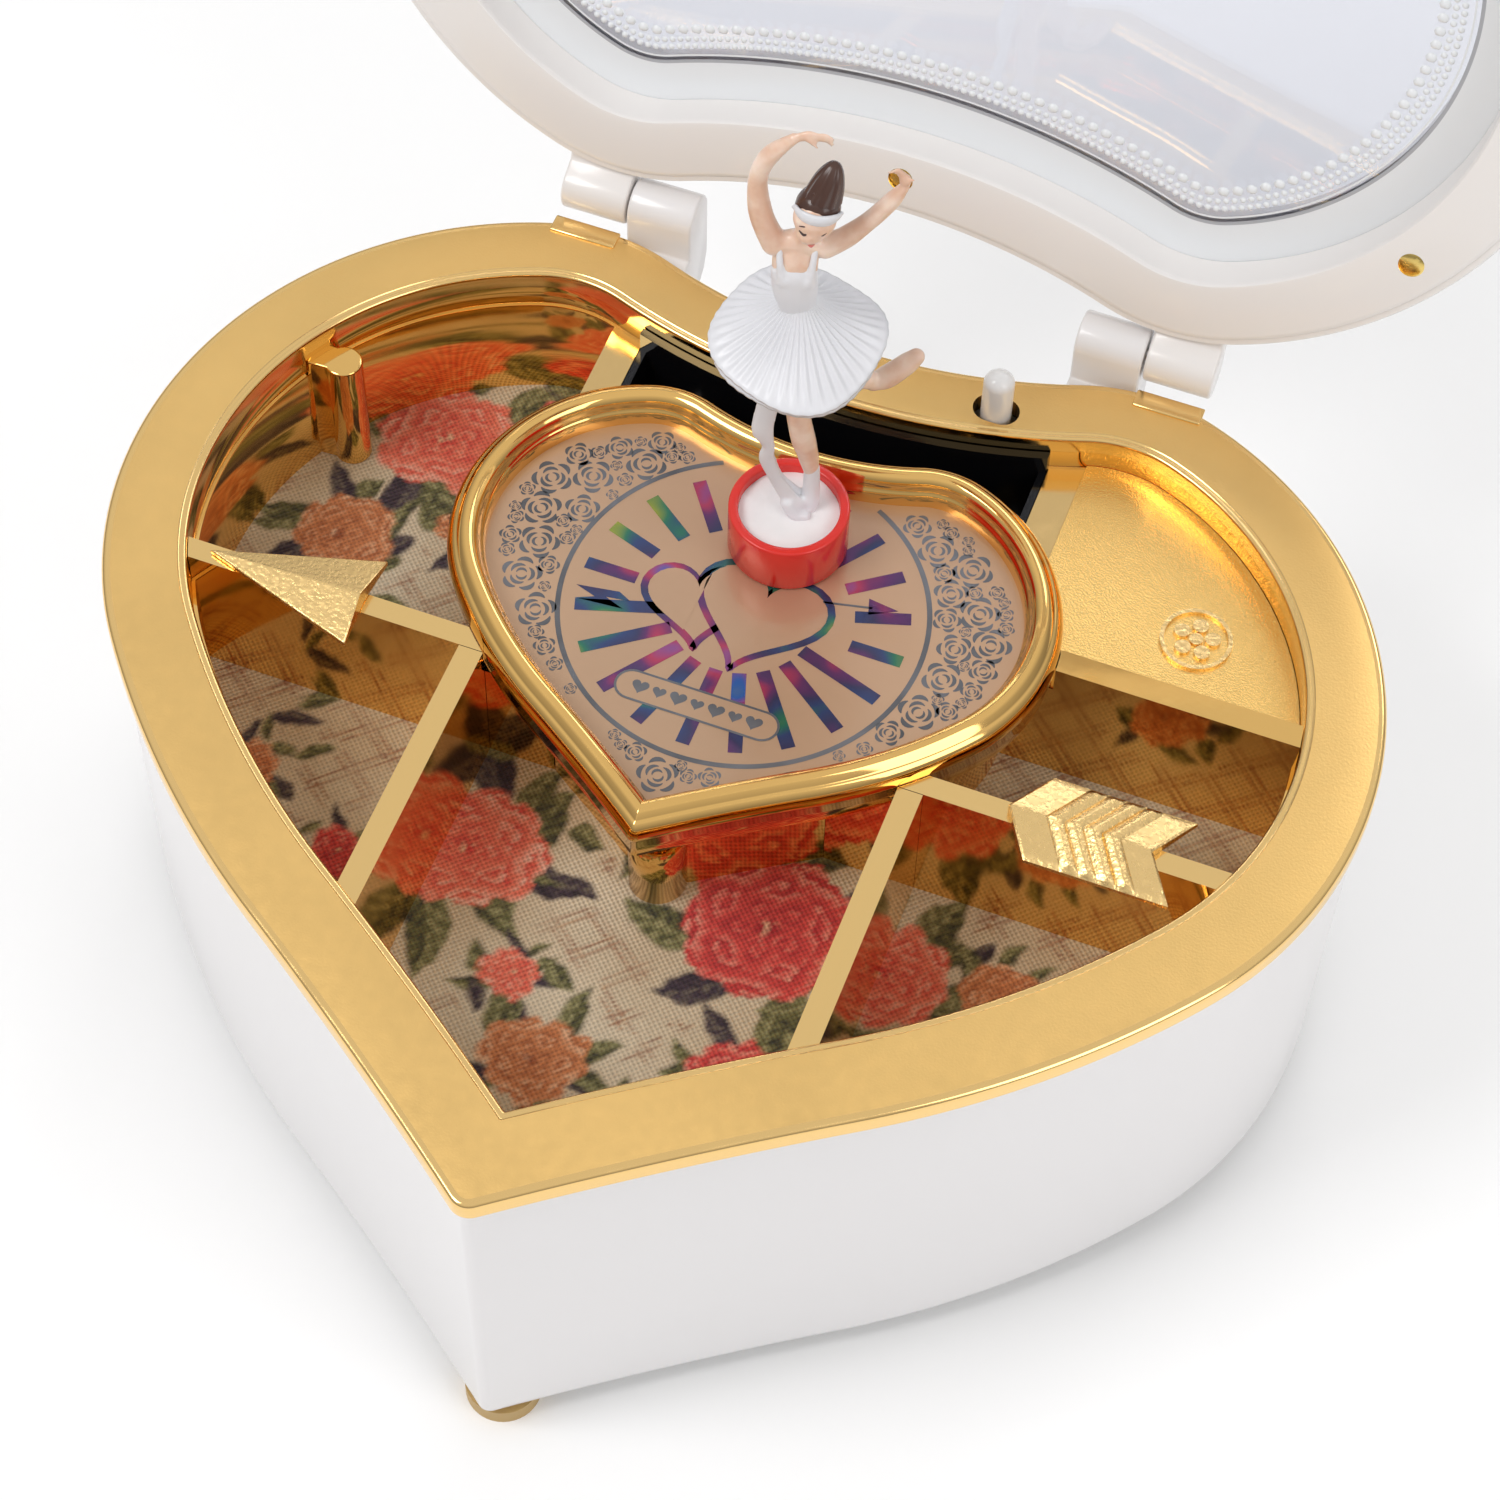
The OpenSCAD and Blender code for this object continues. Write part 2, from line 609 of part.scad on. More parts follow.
module spring_barrel() color("goldenrod") translate([barrel_x, 0, 0]) {
    difference() {
        union() {
            translate([0, 0, gear_z[0]]) rotate(180) spur(barrel_n, spur_m, gear_z[1] - gear_z[0]);
            disc(9, gear_z[1] - eps, drum_z[0] + eps);
            disc(drum_r, drum_z[0], drum_z[1]);
        }
        disc(drum_r - 1, drum_z[0] + 1, drum_z[1] + 1);
        disc(arbor_r + run, gear_z[0] - 1, drum_z[1]);
    }
}
module barrel_cap() color("goldenrod") translate([barrel_x, 0, 0]) {
    difference() {
        union() {
            disc(drum_r, cap_z[0], cap_z[1]);
            for (i = [0:crown_n - 1]) rotate((i + 0.5) * 360 / crown_n + 90) crown_tooth();
        }
        disc(arbor_r + run, 20, 30);
    }
}
module crown_tooth() {
    top = pitch_z + 0.5 - cap_z[1];
    translate([crown_r - 1.3, 0, cap_z[1] - eps]) rotate([90, 0, 90])
        linear_extrude(2.6) polygon([[-0.5, 0], [0.5, 0], [0.2, top], [-0.2, top]]);
}
module mainspring() color("dimgray") translate([barrel_x, 0, 0]) {
    turns = 5;
    steps = 24;
    r0 = 3.4;
    grow = 2.1;
    slab(drum_z[0] + 1.4, drum_z[1] - 0.4) polygon(concat(
        [for (i = [0:turns * steps]) (r0 + grow * i / steps) * [cos(i * 360 / steps), sin(i * 360 / steps)]],
        [for (i = [turns * steps:-1:0]) (r0 + 0.5 + grow * i / steps) * [cos(i * 360 / steps), sin(i * 360 / steps)]]));
}
module pinned_cylinder() color("gold") {
    along_y(barrel_x, train_z, cyl_y[0]) {
        length = cyl_y[1] - cyl_y[0];
        difference() {
            union() {
                cylinder(r = cyl_r, h = length);
                for (i = [0:comb_teeth - 1], k = [0:2])
                    translate([0, 0, 0.5 + tooth_pitch * (i + 0.5)]) rotate([0, 0, 120 * k + 47 * i + 11 * k])
                        rotate([0, 90, 0]) cylinder(r = 0.22, h = cyl_r + 0.8);
            }
            translate([0, 0, -1]) cylinder(r = axle_r, h = length + 2);
        }
    }
}
module cylinder_gears() color("gold") {
    along_y(barrel_x, train_z, crown_r - crown_face / 2) rotate(90)
        spur(pinion_n, crown_m, crown_face);
    along_y(barrel_x, train_z, wheel_y[0]) rotate(0) spur(wheel_n, train_m, wheel_y[1] - wheel_y[0]);
    along_y(barrel_x, train_z, crown_r - 2.2) cylinder(r = axle_r, h = plate2_y[1] - crown_r + 2.2);
}
module governor_wheels() color("gold") {
    along_y(gov_x, train_z, wheel_y[0]) rotate(180 + 180 / gov_n) spur(gov_n, train_m, wheel_y[1] - wheel_y[0]);
    along_y(gov_x, train_z, wheel2_y[0]) rotate(fly_turn) spur(wheel2_n, fine_m, wheel2_y[1] - wheel2_y[0]);
    along_y(gov_x, train_z, plate_y[0]) cylinder(r = axle_r, h = plate2_y[1] - plate_y[0]);
}
module fly_fan() color("silver") {
    along_y(fly_at[0], fly_at[1], wheel2_y[0]) rotate(fly_turn + 180 + 180 / fly_n) spur(fly_n, fine_m, wheel2_y[1] - wheel2_y[0]);
    along_y(fly_at[0], fly_at[1], plate_y[0]) cylinder(r = axle_r, h = plate2_y[1] - plate_y[0]);
    along_y(fly_at[0], fly_at[1], 22) linear_extrude(12) {
        circle(r = 2);
        square([12.4, 0.8], center = true);
    }
}

// ---- stage drive ------------------------------------------------------------------
spindle_r = 2;
sun_n = 24;
planet_n = 16;
sun_m = 2 * orbit_r / (sun_n + planet_n);
sun_z = [bridge_z + 2.4, bridge_z + 4.4];
arm_z = [sun_z[1] + 0.5, sun_z[1] + 2.5];
magnet_z = [arm_z[1] + 0.4, panel_bot - 0.6];
module stage_spindle() color("silver") {
    disc(spindle_r, bed_bot + 0.2, arm_z[1]);
    translate([0, 0, gear_z[0]]) rotate(180 / spindle_n) spur(spindle_n, spur_m, gear_z[1] - gear_z[0]);
}
module spindle_bridge() color("silver") {
    difference() {
        block([-33, -5, bridge_z + 0.05], [33, 5, bridge_z + 2]);
        disc(spindle_r + run, bridge_z - 1, bridge_z + 3);
    }
}
module sun_gear() color("white") {
    difference() {
        union() {
            translate([0, 0, sun_z[0]]) rotate(90 + orbit_turn) spur(sun_n, sun_m, sun_z[1] - sun_z[0]);
            disc(4, bridge_z + 2.02, sun_z[0] + eps);
        }
        disc(spindle_r + 0.3, bridge_z, sun_z[1] + 1);
    }
}
planet_pin_r = 1.5;
module at_orbit() { rotate(orbit_turn) translate([0, orbit_r, 0]) children(); }
module magnet_arm() color("white") rotate(orbit_turn) {
    difference() {
        hull() { disc(5, arm_z[0], arm_z[1]); translate([0, orbit_r, 0]) disc(4, arm_z[0], arm_z[1]); }
        disc(spindle_r, arm_z[0] - 1, arm_z[1] + 1);
        translate([0, orbit_r, 0]) disc(planet_pin_r + run, arm_z[0] - 1, arm_z[1] + 1);
    }
}
module planet_gear() color("white") at_orbit() {
    translate([0, 0, sun_z[0]]) rotate(-90 + 180 / planet_n) spur(planet_n, sun_m, sun_z[1] - sun_z[0]);
    disc(planet_pin_r, sun_z[1] - eps, magnet_z[0] + eps);
    difference() {
        disc(6, magnet_z[0], magnet_z[1] - 0.6);
        disc(5, magnet_z[0] + 0.8, magnet_z[1]);
    }
}
module drive_magnet() color("dimgray") at_orbit() disc(4.95, magnet_z[0] + 0.82, magnet_z[1]);

// ---- figure ---------------------------------------------------------------------------
figure_bot = stage_top + 0.1;
base_top_z = figure_bot + 8.5;
disc_top = base_top_z - 1.8;
module base_ring() color("crimson") at_orbit() difference() {
    disc(base_r, figure_bot, base_top_z);
    disc(base_r - 1.4, figure_bot + 2.2, base_top_z + 1);
    disc(5.1, figure_bot + 0.5, figure_bot + 3);
}
module base_magnet() color("dimgray") at_orbit() disc(5, figure_bot + 0.55, figure_bot + 2.1);
module plaster_disc() color("white") at_orbit() disc(base_r - 1.45, figure_bot + 2.25, disc_top);
// a tapered limb with round ends
module limb(a, b, ra, rb) {
    hull() { translate(a) sphere(r = ra, $fn = 16); translate(b) sphere(r = rb, $fn = 16); }
}
hip = [0.5, 0, 36];
chest = [0.3, 0, 52];
neck = [2, -1.5, 61.5];
head_c = [2.6, -2.2, 64];
module at_figure() { at_orbit() translate([0, 0, disc_top - 0.3]) children(); }
module dancer() color("bisque") at_figure() {
    limb([0, 1, 0.6], [0.6, 0.4, 17], 1, 1.7);
    limb([0.6, 0.4, 17], hip, 1.7, 2.8);
    limb([0, -1.6, 0.6], [0, 1, 2], 0.9, 1.1);
    limb(hip + [1, 0, -2], [10, 2, 28], 2.7, 1.9);
    limb([10, 2, 28], [17, 8, 30.5], 1.8, 1.1);
    limb([17, 8, 30.5], [20.5, 9.5, 33], 1.1, 0.8);
    limb(hip, [0.3, 0, 43], 3.4, 2.6);
    limb([0.3, 0, 43], chest, 2.6, 4);
    limb([-2.6, 0, 55], [3.6, -0.3, 55.5], 1.7, 1.7);
    limb(chest, neck, 2.4, 1.3);
    limb([-3.6, 0, 55.4], [-8.4, -1, 66], 1.5, 1.1);
    limb([-8.4, -1, 66], [-1, -3, 74], 1.1, 0.7);
    limb([4.6, -0.4, 56], [11, -2, 62.5], 1.5, 1.1);
    limb([11, -2, 62.5], [10, -4, 71], 1.1, 0.7);
    translate(head_c) sphere(r = 3.5, $fn = 24);
}
module dancer_dress() color("white") at_figure() {
    limb([0.4, 0, 41], [0.3, -0.1, 51.5], 3.2, 4.4);
    translate([0.4, 0, 0]) rotate([6, -6, 0]) hull() {
        translate([0, 0, 41]) cylinder(r = 4, h = 0.5, $fn = 32);
        translate([0, 0, 35.4]) cylinder(r = 12.6, h = 0.8, $fn = 32);
        translate([0, 0, 33.2]) cylinder(r = 11.4, h = 0.4, $fn = 32);
    }
    hull() { translate([-3, 0.5, 20]) sphere(r = 1, $fn = 16); translate([-1, 0.5, 33]) sphere(r = 2.4, $fn = 16); }
    hull() { translate([-3, 0.5, 20]) sphere(r = 1, $fn = 16); translate([-3.4, -0.8, 0.9]) sphere(r = 1.6, $fn = 16); }
}
module dancer_hair() color("saddlebrown") at_figure() {
    difference() {
        translate(head_c + [0.4, 1, 0.9]) sphere(r = 3.5, $fn = 24);
        translate(head_c + [-0.6, -3.4, -2.2]) sphere(r = 4.2, $fn = 24);
    }
    translate(head_c + [0.8, 1, 4.6]) sphere(r = 1.9, $fn = 20);
}

body_shell();
base_plate();
base_screws();
feet();
tray_rim();
tray_wall();
stage_tower();
divider_front_left();
divider_front_right();
divider_back_left();
divider_back_right();
arrow_shaft();
arrow_head();
arrow_fletching();
shelf();
shelf_emblem();
rear_cover();
lining_card();
fabric_lining();
stage_bezel();
stage_panel();
hinge_pins();
lid_frame();
lid_ring();
lid_window();
lid_screws();
plunger();
stop_wire();
plunger_spring();
movement_bedplate();
movement_screws();
bearing_plates();
barrel_bridge();
click();
comb();
comb_base();
spindle_bridge();
sun_gear();
winding_key();
winding_arbor();
ratchet_wheel();
spring_barrel();
barrel_cap();
mainspring();
pinned_cylinder();
cylinder_gears();
governor_wheels();
fly_fan();
stage_spindle();
magnet_arm();
planet_gear();
drive_magnet();
base_ring();
base_magnet();
plaster_disc();
dancer();
dancer_dress();
dancer_hair();
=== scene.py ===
"""Looks for the heart-shaped music box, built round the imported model.

Lengths in this file are in millimetres unless they say otherwise; MM turns them into metres.
"""
import json
import math
import random

import bmesh
import bpy
import numpy as np
from mathutils import Matrix, Vector, noise
from mathutils.geometry import tessellate_polygon


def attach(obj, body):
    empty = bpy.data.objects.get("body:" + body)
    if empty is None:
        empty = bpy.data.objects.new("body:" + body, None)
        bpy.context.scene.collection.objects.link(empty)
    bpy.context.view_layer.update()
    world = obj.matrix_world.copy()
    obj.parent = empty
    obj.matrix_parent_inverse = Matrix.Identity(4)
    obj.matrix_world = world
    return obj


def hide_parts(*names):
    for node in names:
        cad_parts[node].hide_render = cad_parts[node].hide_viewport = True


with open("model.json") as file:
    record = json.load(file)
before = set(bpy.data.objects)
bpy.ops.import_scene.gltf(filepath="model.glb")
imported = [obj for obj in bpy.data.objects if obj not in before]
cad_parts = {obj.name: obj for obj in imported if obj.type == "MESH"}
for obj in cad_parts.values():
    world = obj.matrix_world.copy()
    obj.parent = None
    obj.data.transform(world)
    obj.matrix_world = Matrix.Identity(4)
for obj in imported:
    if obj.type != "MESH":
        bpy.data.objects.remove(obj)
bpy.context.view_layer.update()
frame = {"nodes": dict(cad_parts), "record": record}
nodes = frame["nodes"]
MM = 0.001

def place(name, data):
    """Makes an object of that data in the scene."""
    ob = bpy.data.objects.new(name, data)
    bpy.context.scene.collection.objects.link(ob)
    return ob


def mesh_mm(name, verts, faces):
    """A mesh from vertices in millimetres."""
    mesh = bpy.data.meshes.new(name)
    mesh.from_pydata([tuple(c * MM for c in v) for v in verts], [], faces)
    return mesh


# ---------------------------------------------------------------- camera
CAM_TARGET = (10.4, -14.0, 72.0)
CAM_BACK = (18.52, 56.24)
CAM_DISTANCE = 514.4
CAM_ROLL = 2.29
CAM_LENS = 89.7
CAM_SHIFT = (-0.0156, -0.0291)


def make_camera():
    az, el = (math.radians(v) for v in CAM_BACK)
    back = Vector((math.sin(az) * math.cos(el), -math.cos(az) * math.cos(el), math.sin(el)))
    cam = place("camera", bpy.data.cameras.new("camera"))
    cam.data.sensor_width = 36.0
    cam.data.lens = CAM_LENS
    cam.data.clip_start = 0.01
    cam.data.shift_x, cam.data.shift_y = CAM_SHIFT
    cam.location = (Vector(CAM_TARGET) + CAM_DISTANCE * back) * MM
    turn = (-back).to_track_quat("-Z", "Y").to_matrix()
    cam.rotation_mode = "QUATERNION"
    cam.rotation_quaternion = (turn @ Matrix.Rotation(math.radians(CAM_ROLL), 3, "Z")).to_quaternion()
    bpy.context.scene.camera = cam


def area_light(name, spot, aim, size, power):
    lamp = bpy.data.lights.new(name, "AREA")
    lamp.shape = "RECTANGLE"
    lamp.size, lamp.size_y = size[0] * MM, size[1] * MM
    lamp.energy = power
    ob = place(name, lamp)
    ob.location = Vector(spot) * MM
    ob.rotation_mode = "QUATERNION"
    ob.rotation_quaternion = (Vector(aim) * MM - ob.location).to_track_quat("-Z", "Y")


# ---------------------------------------------------------------- materials
class Look:
    """A Principled material with small helpers for its procedural detail."""

    def __init__(self, name, color, rough=0.4, metal=0.0, **sockets):
        self.mat = bpy.data.materials.new(name)
        self.mat.use_nodes = True
        self.tree = self.mat.node_tree
        self.bsdf = self.tree.nodes["Principled BSDF"]
        self.bsdf.inputs["Base Color"].default_value = (*color, 1)
        self.bsdf.inputs["Roughness"].default_value = rough
        self.bsdf.inputs["Metallic"].default_value = metal
        for key, value in sockets.items():
            self.bsdf.inputs[key.replace("_", " ")].default_value = value
        self.color = color
        self.rough = rough
        self.place = self.add("ShaderNodeTexCoord").outputs["Object"]
        self.bump_out = None

    def add(self, kind, **values):
        node = self.tree.nodes.new(kind)
        for key, value in values.items():
            setattr(node, key, value)
        return node

    def link(self, a, b):
        self.tree.links.new(a, b)

    def noise(self, scale, detail=2.0, rough=0.5):
        """Noise with `scale` features to the metre."""
        node = self.add("ShaderNodeTexNoise")
        node.inputs["Scale"].default_value = scale
        node.inputs["Detail"].default_value = detail
        node.inputs["Roughness"].default_value = rough
        self.link(self.place, node.inputs["Vector"])
        return node.outputs["Fac"]

    def ramp(self, value, stops):
        """Colour ramp; stops are (position, colour) with colours of three numbers or one."""
        node = self.add("ShaderNodeValToRGB")
        band = node.color_ramp
        while len(band.elements) < len(stops):
            band.elements.new(0.5)
        for element, (position, color) in zip(band.elements, stops):
            element.position = position
            if not hasattr(color, "__len__"):
                color = (color,) * 3
            element.color = (*color, 1)
        self.link(value, node.inputs["Fac"])
        return node.outputs["Color"]

    def math(self, kind, a, b=None):
        node = self.add("ShaderNodeMath", operation=kind)
        for socket, value in zip(node.inputs, (a, b)):
            if value is None:
                continue
            if hasattr(value, "is_linked"):
                self.link(value, socket)
            else:
                socket.default_value = value
        return node.outputs[0]

    def mix(self, factor, a, b, kind="MIX"):
        node = self.add("ShaderNodeMix", data_type="RGBA", blend_type=kind)
        for socket, value in ((node.inputs[0], factor), (node.inputs[6], a), (node.inputs[7], b)):
            if hasattr(value, "is_linked"):
                self.link(value, socket)
            elif hasattr(value, "__len__"):
                socket.default_value = (*value, 1)
            else:
                socket.default_value = value
        return node.outputs[2]

    def paint(self, color):
        self.link(color, self.bsdf.inputs["Base Color"])
        return self

    def mottle(self, scale, low, high):
        """Colour varies between low and high times the base."""
        a = tuple(c * low for c in self.color)
        b = tuple(min(1.0, c * high) for c in self.color)
        return self.paint(self.ramp(self.noise(scale, 3.0), [(0.35, a), (0.65, b)]))

    def scuff(self, scale, spread):
        """Roughness varies by spread either way."""
        low, high = max(0.0, self.rough - spread), min(1.0, self.rough + spread)
        self.link(self.ramp(self.noise(scale, 4.0), [(0.3, low), (0.7, high)]),
                  self.bsdf.inputs["Roughness"])
        return self

    def bump(self, height, depth, strength=1.0):
        """Bump of `depth` mm, on top of any that is already there."""
        node = self.add("ShaderNodeBump")
        node.inputs["Strength"].default_value = strength
        node.inputs["Distance"].default_value = depth * MM
        self.link(height, node.inputs["Height"])
        if self.bump_out is not None:
            self.link(self.bump_out, node.inputs["Normal"])
        self.bump_out = node.outputs["Normal"]
        self.link(self.bump_out, self.bsdf.inputs["Normal"])
        return self


GOLD = (0.93, 0.58, 0.19)


def gold_mirror():
    look = Look("gold_mirror", GOLD, 0.07, 1.0)
    look.scuff(90, 0.04).mottle(25, 0.95, 1.03)
    return look.bump(look.noise(120, 3), 0.04, 0.5).mat


def gold_edge():
    look = Look("gold_edge", (0.94, 0.64, 0.26), 0.14, 1.0)
    return look.scuff(200, 0.05).bump(look.noise(300, 2), 0.02, 0.5).mat


def gold_satin():
    look = Look("gold_satin", (0.94, 0.62, 0.23), 0.37, 1.0)
    look.mottle(40, 0.96, 1.04).scuff(500, 0.05)
    return look.bump(look.noise(2600, 2), 0.035, 0.7).mat


def gold_stipple():
    look = Look("gold_stipple", (0.93, 0.6, 0.2), 0.2, 1.0)
    look.scuff(1800, 0.08)
    return look.bump(look.noise(3000, 3, 0.6), 0.11, 0.9).mat


def gold_grain():
    look = Look("gold_grain", (0.93, 0.65, 0.28), 0.27, 1.0)
    return look.scuff(900, 0.07).bump(look.noise(1500, 3), 0.14, 0.9).mat


def pearl(name, color):
    return Look(name, color, 0.28, 0.0, Coat_Weight=0.35, Coat_Roughness=0.1).mat


def plastic(name, color, rough, grain=0.02, scale=1500):
    """Moulded plastic; with no grain it is quite even."""
    look = Look(name, color, rough)
    if grain:
        look.mottle(60, 0.95, 1.05).scuff(300, 0.06)
        look.bump(look.noise(scale, 3), grain, 0.6)
    return look.mat


def metal(name, color, rough):
    look = Look(name, color, rough, 1.0)
    look.mottle(50, 0.9, 1.08).scuff(400, 0.08)
    return look.bump(look.noise(600, 4), 0.015, 0.6).mat


def copper_panel():
    look = Look("stage_copper", (0.58, 0.37, 0.23), 0.3, 0.45, Coat_Weight=0.6, Coat_Roughness=0.08)
    look.mottle(18, 0.92, 1.08)
    return look.bump(look.noise(3500, 2), 0.02, 0.5).mat


def print_grey():
    look = Look("print_grey", (0.15, 0.155, 0.17), 0.28, 0.5)
    look.mottle(90, 0.75, 1.35)
    return look.bump(look.noise(2500, 2), 0.01, 0.4).mat


def print_holo():
    look = Look("print_holo", (0.1, 0.1, 0.3), 0.22, 0.6, Coat_Weight=0.5)
    bands = look.noise(70, 2.0, 0.6)
    look.paint(look.ramp(bands, [
        (0.3, (0.42, 0.42, 0.03)), (0.38, (0.03, 0.2, 0.12)), (0.44, (0.04, 0.07, 0.2)),
        (0.5, (0.05, 0.05, 0.13)), (0.56, (0.14, 0.04, 0.16)), (0.62, (0.5, 0.05, 0.12)),
        (0.69, (0.03, 0.14, 0.5)), (0.8, (0.3, 0.34, 0.04))]))
    return look.mat


def floral_linen():
    """Linen that takes its printed pattern from the cloth's painted vertices."""
    look = Look("printed_linen", (0.75, 0.66, 0.5), 0.85, 0.0, Sheen_Weight=0.2)
    color = look.add("ShaderNodeVertexColor", layer_name="print").outputs["Color"]
    parts = look.add("ShaderNodeSeparateXYZ")
    look.link(look.place, parts.inputs[0])
    # plain weave: two sets of threads
    threads = None
    for axis in (parts.outputs["X"], parts.outputs["Y"]):
        wave = look.math("SINE", look.math("MULTIPLY", axis, 2 * math.pi / 0.0009))
        threads = wave if threads is None else look.math("MULTIPLY", threads, wave)
    shade = look.ramp(look.math("ADD", look.math("MULTIPLY", threads, 0.35), 0.5), [(0.2, 0.68), (0.6, 1.0)])
    fibre = look.ramp(look.noise(2200, 3), [(0.35, 0.86), (0.65, 1.0)])
    look.paint(look.mix(1.0, color, look.mix(1.0, shade, fibre, "MULTIPLY"), "MULTIPLY"))
    return look.bump(threads, 0.12, 0.8).mat


def clear_pane():
    look = Look("clear_pane", (0.8, 0.815, 0.88), 0.015, 0.0, Transmission_Weight=1.0, IOR=1.62)
    look.scuff(30, 0.01)
    return look.mat


def skin_paint():
    look = Look("doll_skin", (0.86, 0.62, 0.47), 0.34, 0.0, Coat_Weight=0.3, Coat_Roughness=0.15)
    look.bsdf.inputs["Subsurface Weight"].default_value = 0.15
    look.bsdf.inputs["Subsurface Radius"].default_value = (0.0015, 0.0007, 0.0004)
    look.paint(look.ramp(look.noise(260, 3), [(0.35, (0.78, 0.5, 0.36)), (0.65, (0.9, 0.7, 0.57))]))
    return look.bump(look.noise(1300, 2), 0.02, 0.4).mat


LOOKS = {
    "gold_mirror": gold_mirror(), "gold_satin": gold_satin(), "gold_stipple": gold_stipple(),
    "gold_grain": gold_grain(), "gold_edge": gold_edge(),
    "skin": skin_paint(), "stage_copper": copper_panel(), "print_grey": print_grey(),
    "print_holo": print_holo(), "printed_fabric": floral_linen(), "clear_window": clear_pane(),
}
PEARLS = {"pearl_white": (0.82, 0.8, 0.8), "lid_cream": (0.84, 0.81, 0.79)}
# colour and roughness, then the depth and scale of the grain where it isn't the usual
PLASTICS = {
    "white_plastic": ((0.8, 0.8, 0.78), 0.35),
    "white_gloss": ((0.84, 0.83, 0.82), 0.18, 0),
    "band_white": ((0.8, 0.82, 0.84), 0.3, 0),
    "line_grey": ((0.42, 0.43, 0.46), 0.35, 0),
    "black_gloss": ((0.004, 0.004, 0.005), 0.1, 0),
    "rubber_foot": ((0.5, 0.33, 0.12), 0.5, 0.05, 900),
    "card": ((0.6, 0.52, 0.4), 0.8, 0.06, 900),
    "plaster": ((0.84, 0.82, 0.82), 0.6, 0.1, 700),
    "red_gloss": ((0.72, 0.03, 0.022), 0.2, 0),
    "dress_white": ((0.76, 0.76, 0.79), 0.34, 0.03, 900),
    "hair_brown": ((0.075, 0.035, 0.025), 0.22, 0.04, 900),
    "ink": ((0.06, 0.03, 0.03), 0.4),
    "lips": ((0.6, 0.16, 0.13), 0.35),
}
METALS = {
    "steel": ((0.62, 0.62, 0.63), 0.3),
    "spring_steel": ((0.28, 0.3, 0.34), 0.28),
    "brass": ((0.82, 0.6, 0.24), 0.2),
    "brass_screw": ((0.85, 0.63, 0.2), 0.16),
    "magnet": ((0.16, 0.16, 0.17), 0.45),
}
LOOKS.update({name: pearl(name, color) for name, color in PEARLS.items()})
LOOKS.update({name: plastic(name, *values) for name, values in PLASTICS.items()})
LOOKS.update({name: metal(name, *values) for name, values in METALS.items()})
SLOT_OF = {s["node"]: s["material_slot"] for s in frame["record"]["subparts"]}


# ---------------------------------------------------------------- meshes
def put(name, verts, faces, look, body, slot=None, stands_for=(), smooth=True, mats=None):
    """Makes a piece from vertices in millimetres, gives it its look and lets it ride on a body."""
    mesh = mesh_mm(name, verts, faces)
    ob = place(name, mesh)
    for key in ([look] if isinstance(look, str) else look):
        mesh.materials.append(LOOKS[key])
    if mats is not None:
        mesh.polygons.foreach_set("material_index", mats)
    tidy_normals(mesh)
    if smooth:
        mesh.polygons.foreach_set("use_smooth", [True] * len(mesh.polygons))
    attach(ob, body)
    if stands_for:
        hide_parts(*stands_for)
    return ob


def tidy_normals(mesh):
    bm = bmesh.new()
    bm.from_mesh(mesh)
    bmesh.ops.remove_doubles(bm, verts=bm.verts, dist=1e-6)
    bmesh.ops.recalc_face_normals(bm, faces=bm.faces)
    bm.to_mesh(mesh)
    bm.free()


def sharpen(ob, angle=35):
    """Shades smooth, but keeps edges sharper than angle."""
    mesh = ob.data
    mesh.polygons.foreach_set("use_smooth", [True] * len(mesh.polygons))
    mesh.set_sharp_from_angle(angle=math.radians(angle))
    return ob


def bevel(ob, width, segments=3, angle=35):
    mod = ob.modifiers.new("bevel", "BEVEL")
    mod.width = width * MM
    mod.segments = segments
    mod.limit_method = "ANGLE"
    mod.angle_limit = math.radians(angle)
    mod.harden_normals = False
    return ob


def cut_away(ob, cutter, self_cut=False):
    """Takes the cutter's shape out of a piece, and removes the cutter."""
    mod = ob.modifiers.new("cut", "BOOLEAN")
    mod.operation = "DIFFERENCE"
    mod.solver = "EXACT"
    mod.use_self = self_cut
    mod.object = cutter
    bpy.context.view_layer.update()
    apply_modifiers(ob)
    bpy.data.objects.remove(cutter)


def grid_quads(rows, n, first=0):
    """Quads between rows of n points each, closed round each row."""
    return [(first + i * n + a, first + i * n + (a + 1) % n,
             first + (i + 1) * n + (a + 1) % n, first + (i + 1) * n + a)
            for i in range(rows) for a in range(n)]


def prism_faces(n):
    """The ends and sides between two copies of an outline of n points."""
    sides = [(i, (i + 1) % n, n + (i + 1) % n, n + i) for i in range(n)]
    return [tuple(range(n)), tuple(range(2 * n - 1, n - 1, -1)), *sides]


def apply_modifiers(ob):
    dg = bpy.context.evaluated_depsgraph_get()
    mesh = bpy.data.meshes.new_from_object(ob.evaluated_get(dg))
    old = ob.data
    ob.modifiers.clear()
    ob.data = mesh
    bpy.data.meshes.remove(old)


# ---------------------------------------------------------------- heart outline
HALF_W, LOBE_R, SHOULDER_R, SIDE_R, WAIST_R, TIP_R = 92, 59.3, 30, 150, 700, 3
LOBE_TO, SHOULDER_TO, SIDE_FROM, WAIST_FROM = (math.radians(v) for v in (70, 110, -38, -57))
LOBE_C = np.array([HALF_W - LOBE_R, 0.0])


def from_centre(c, r, t):
    return np.asarray(c) + r * np.array([math.cos(t), math.sin(t)])


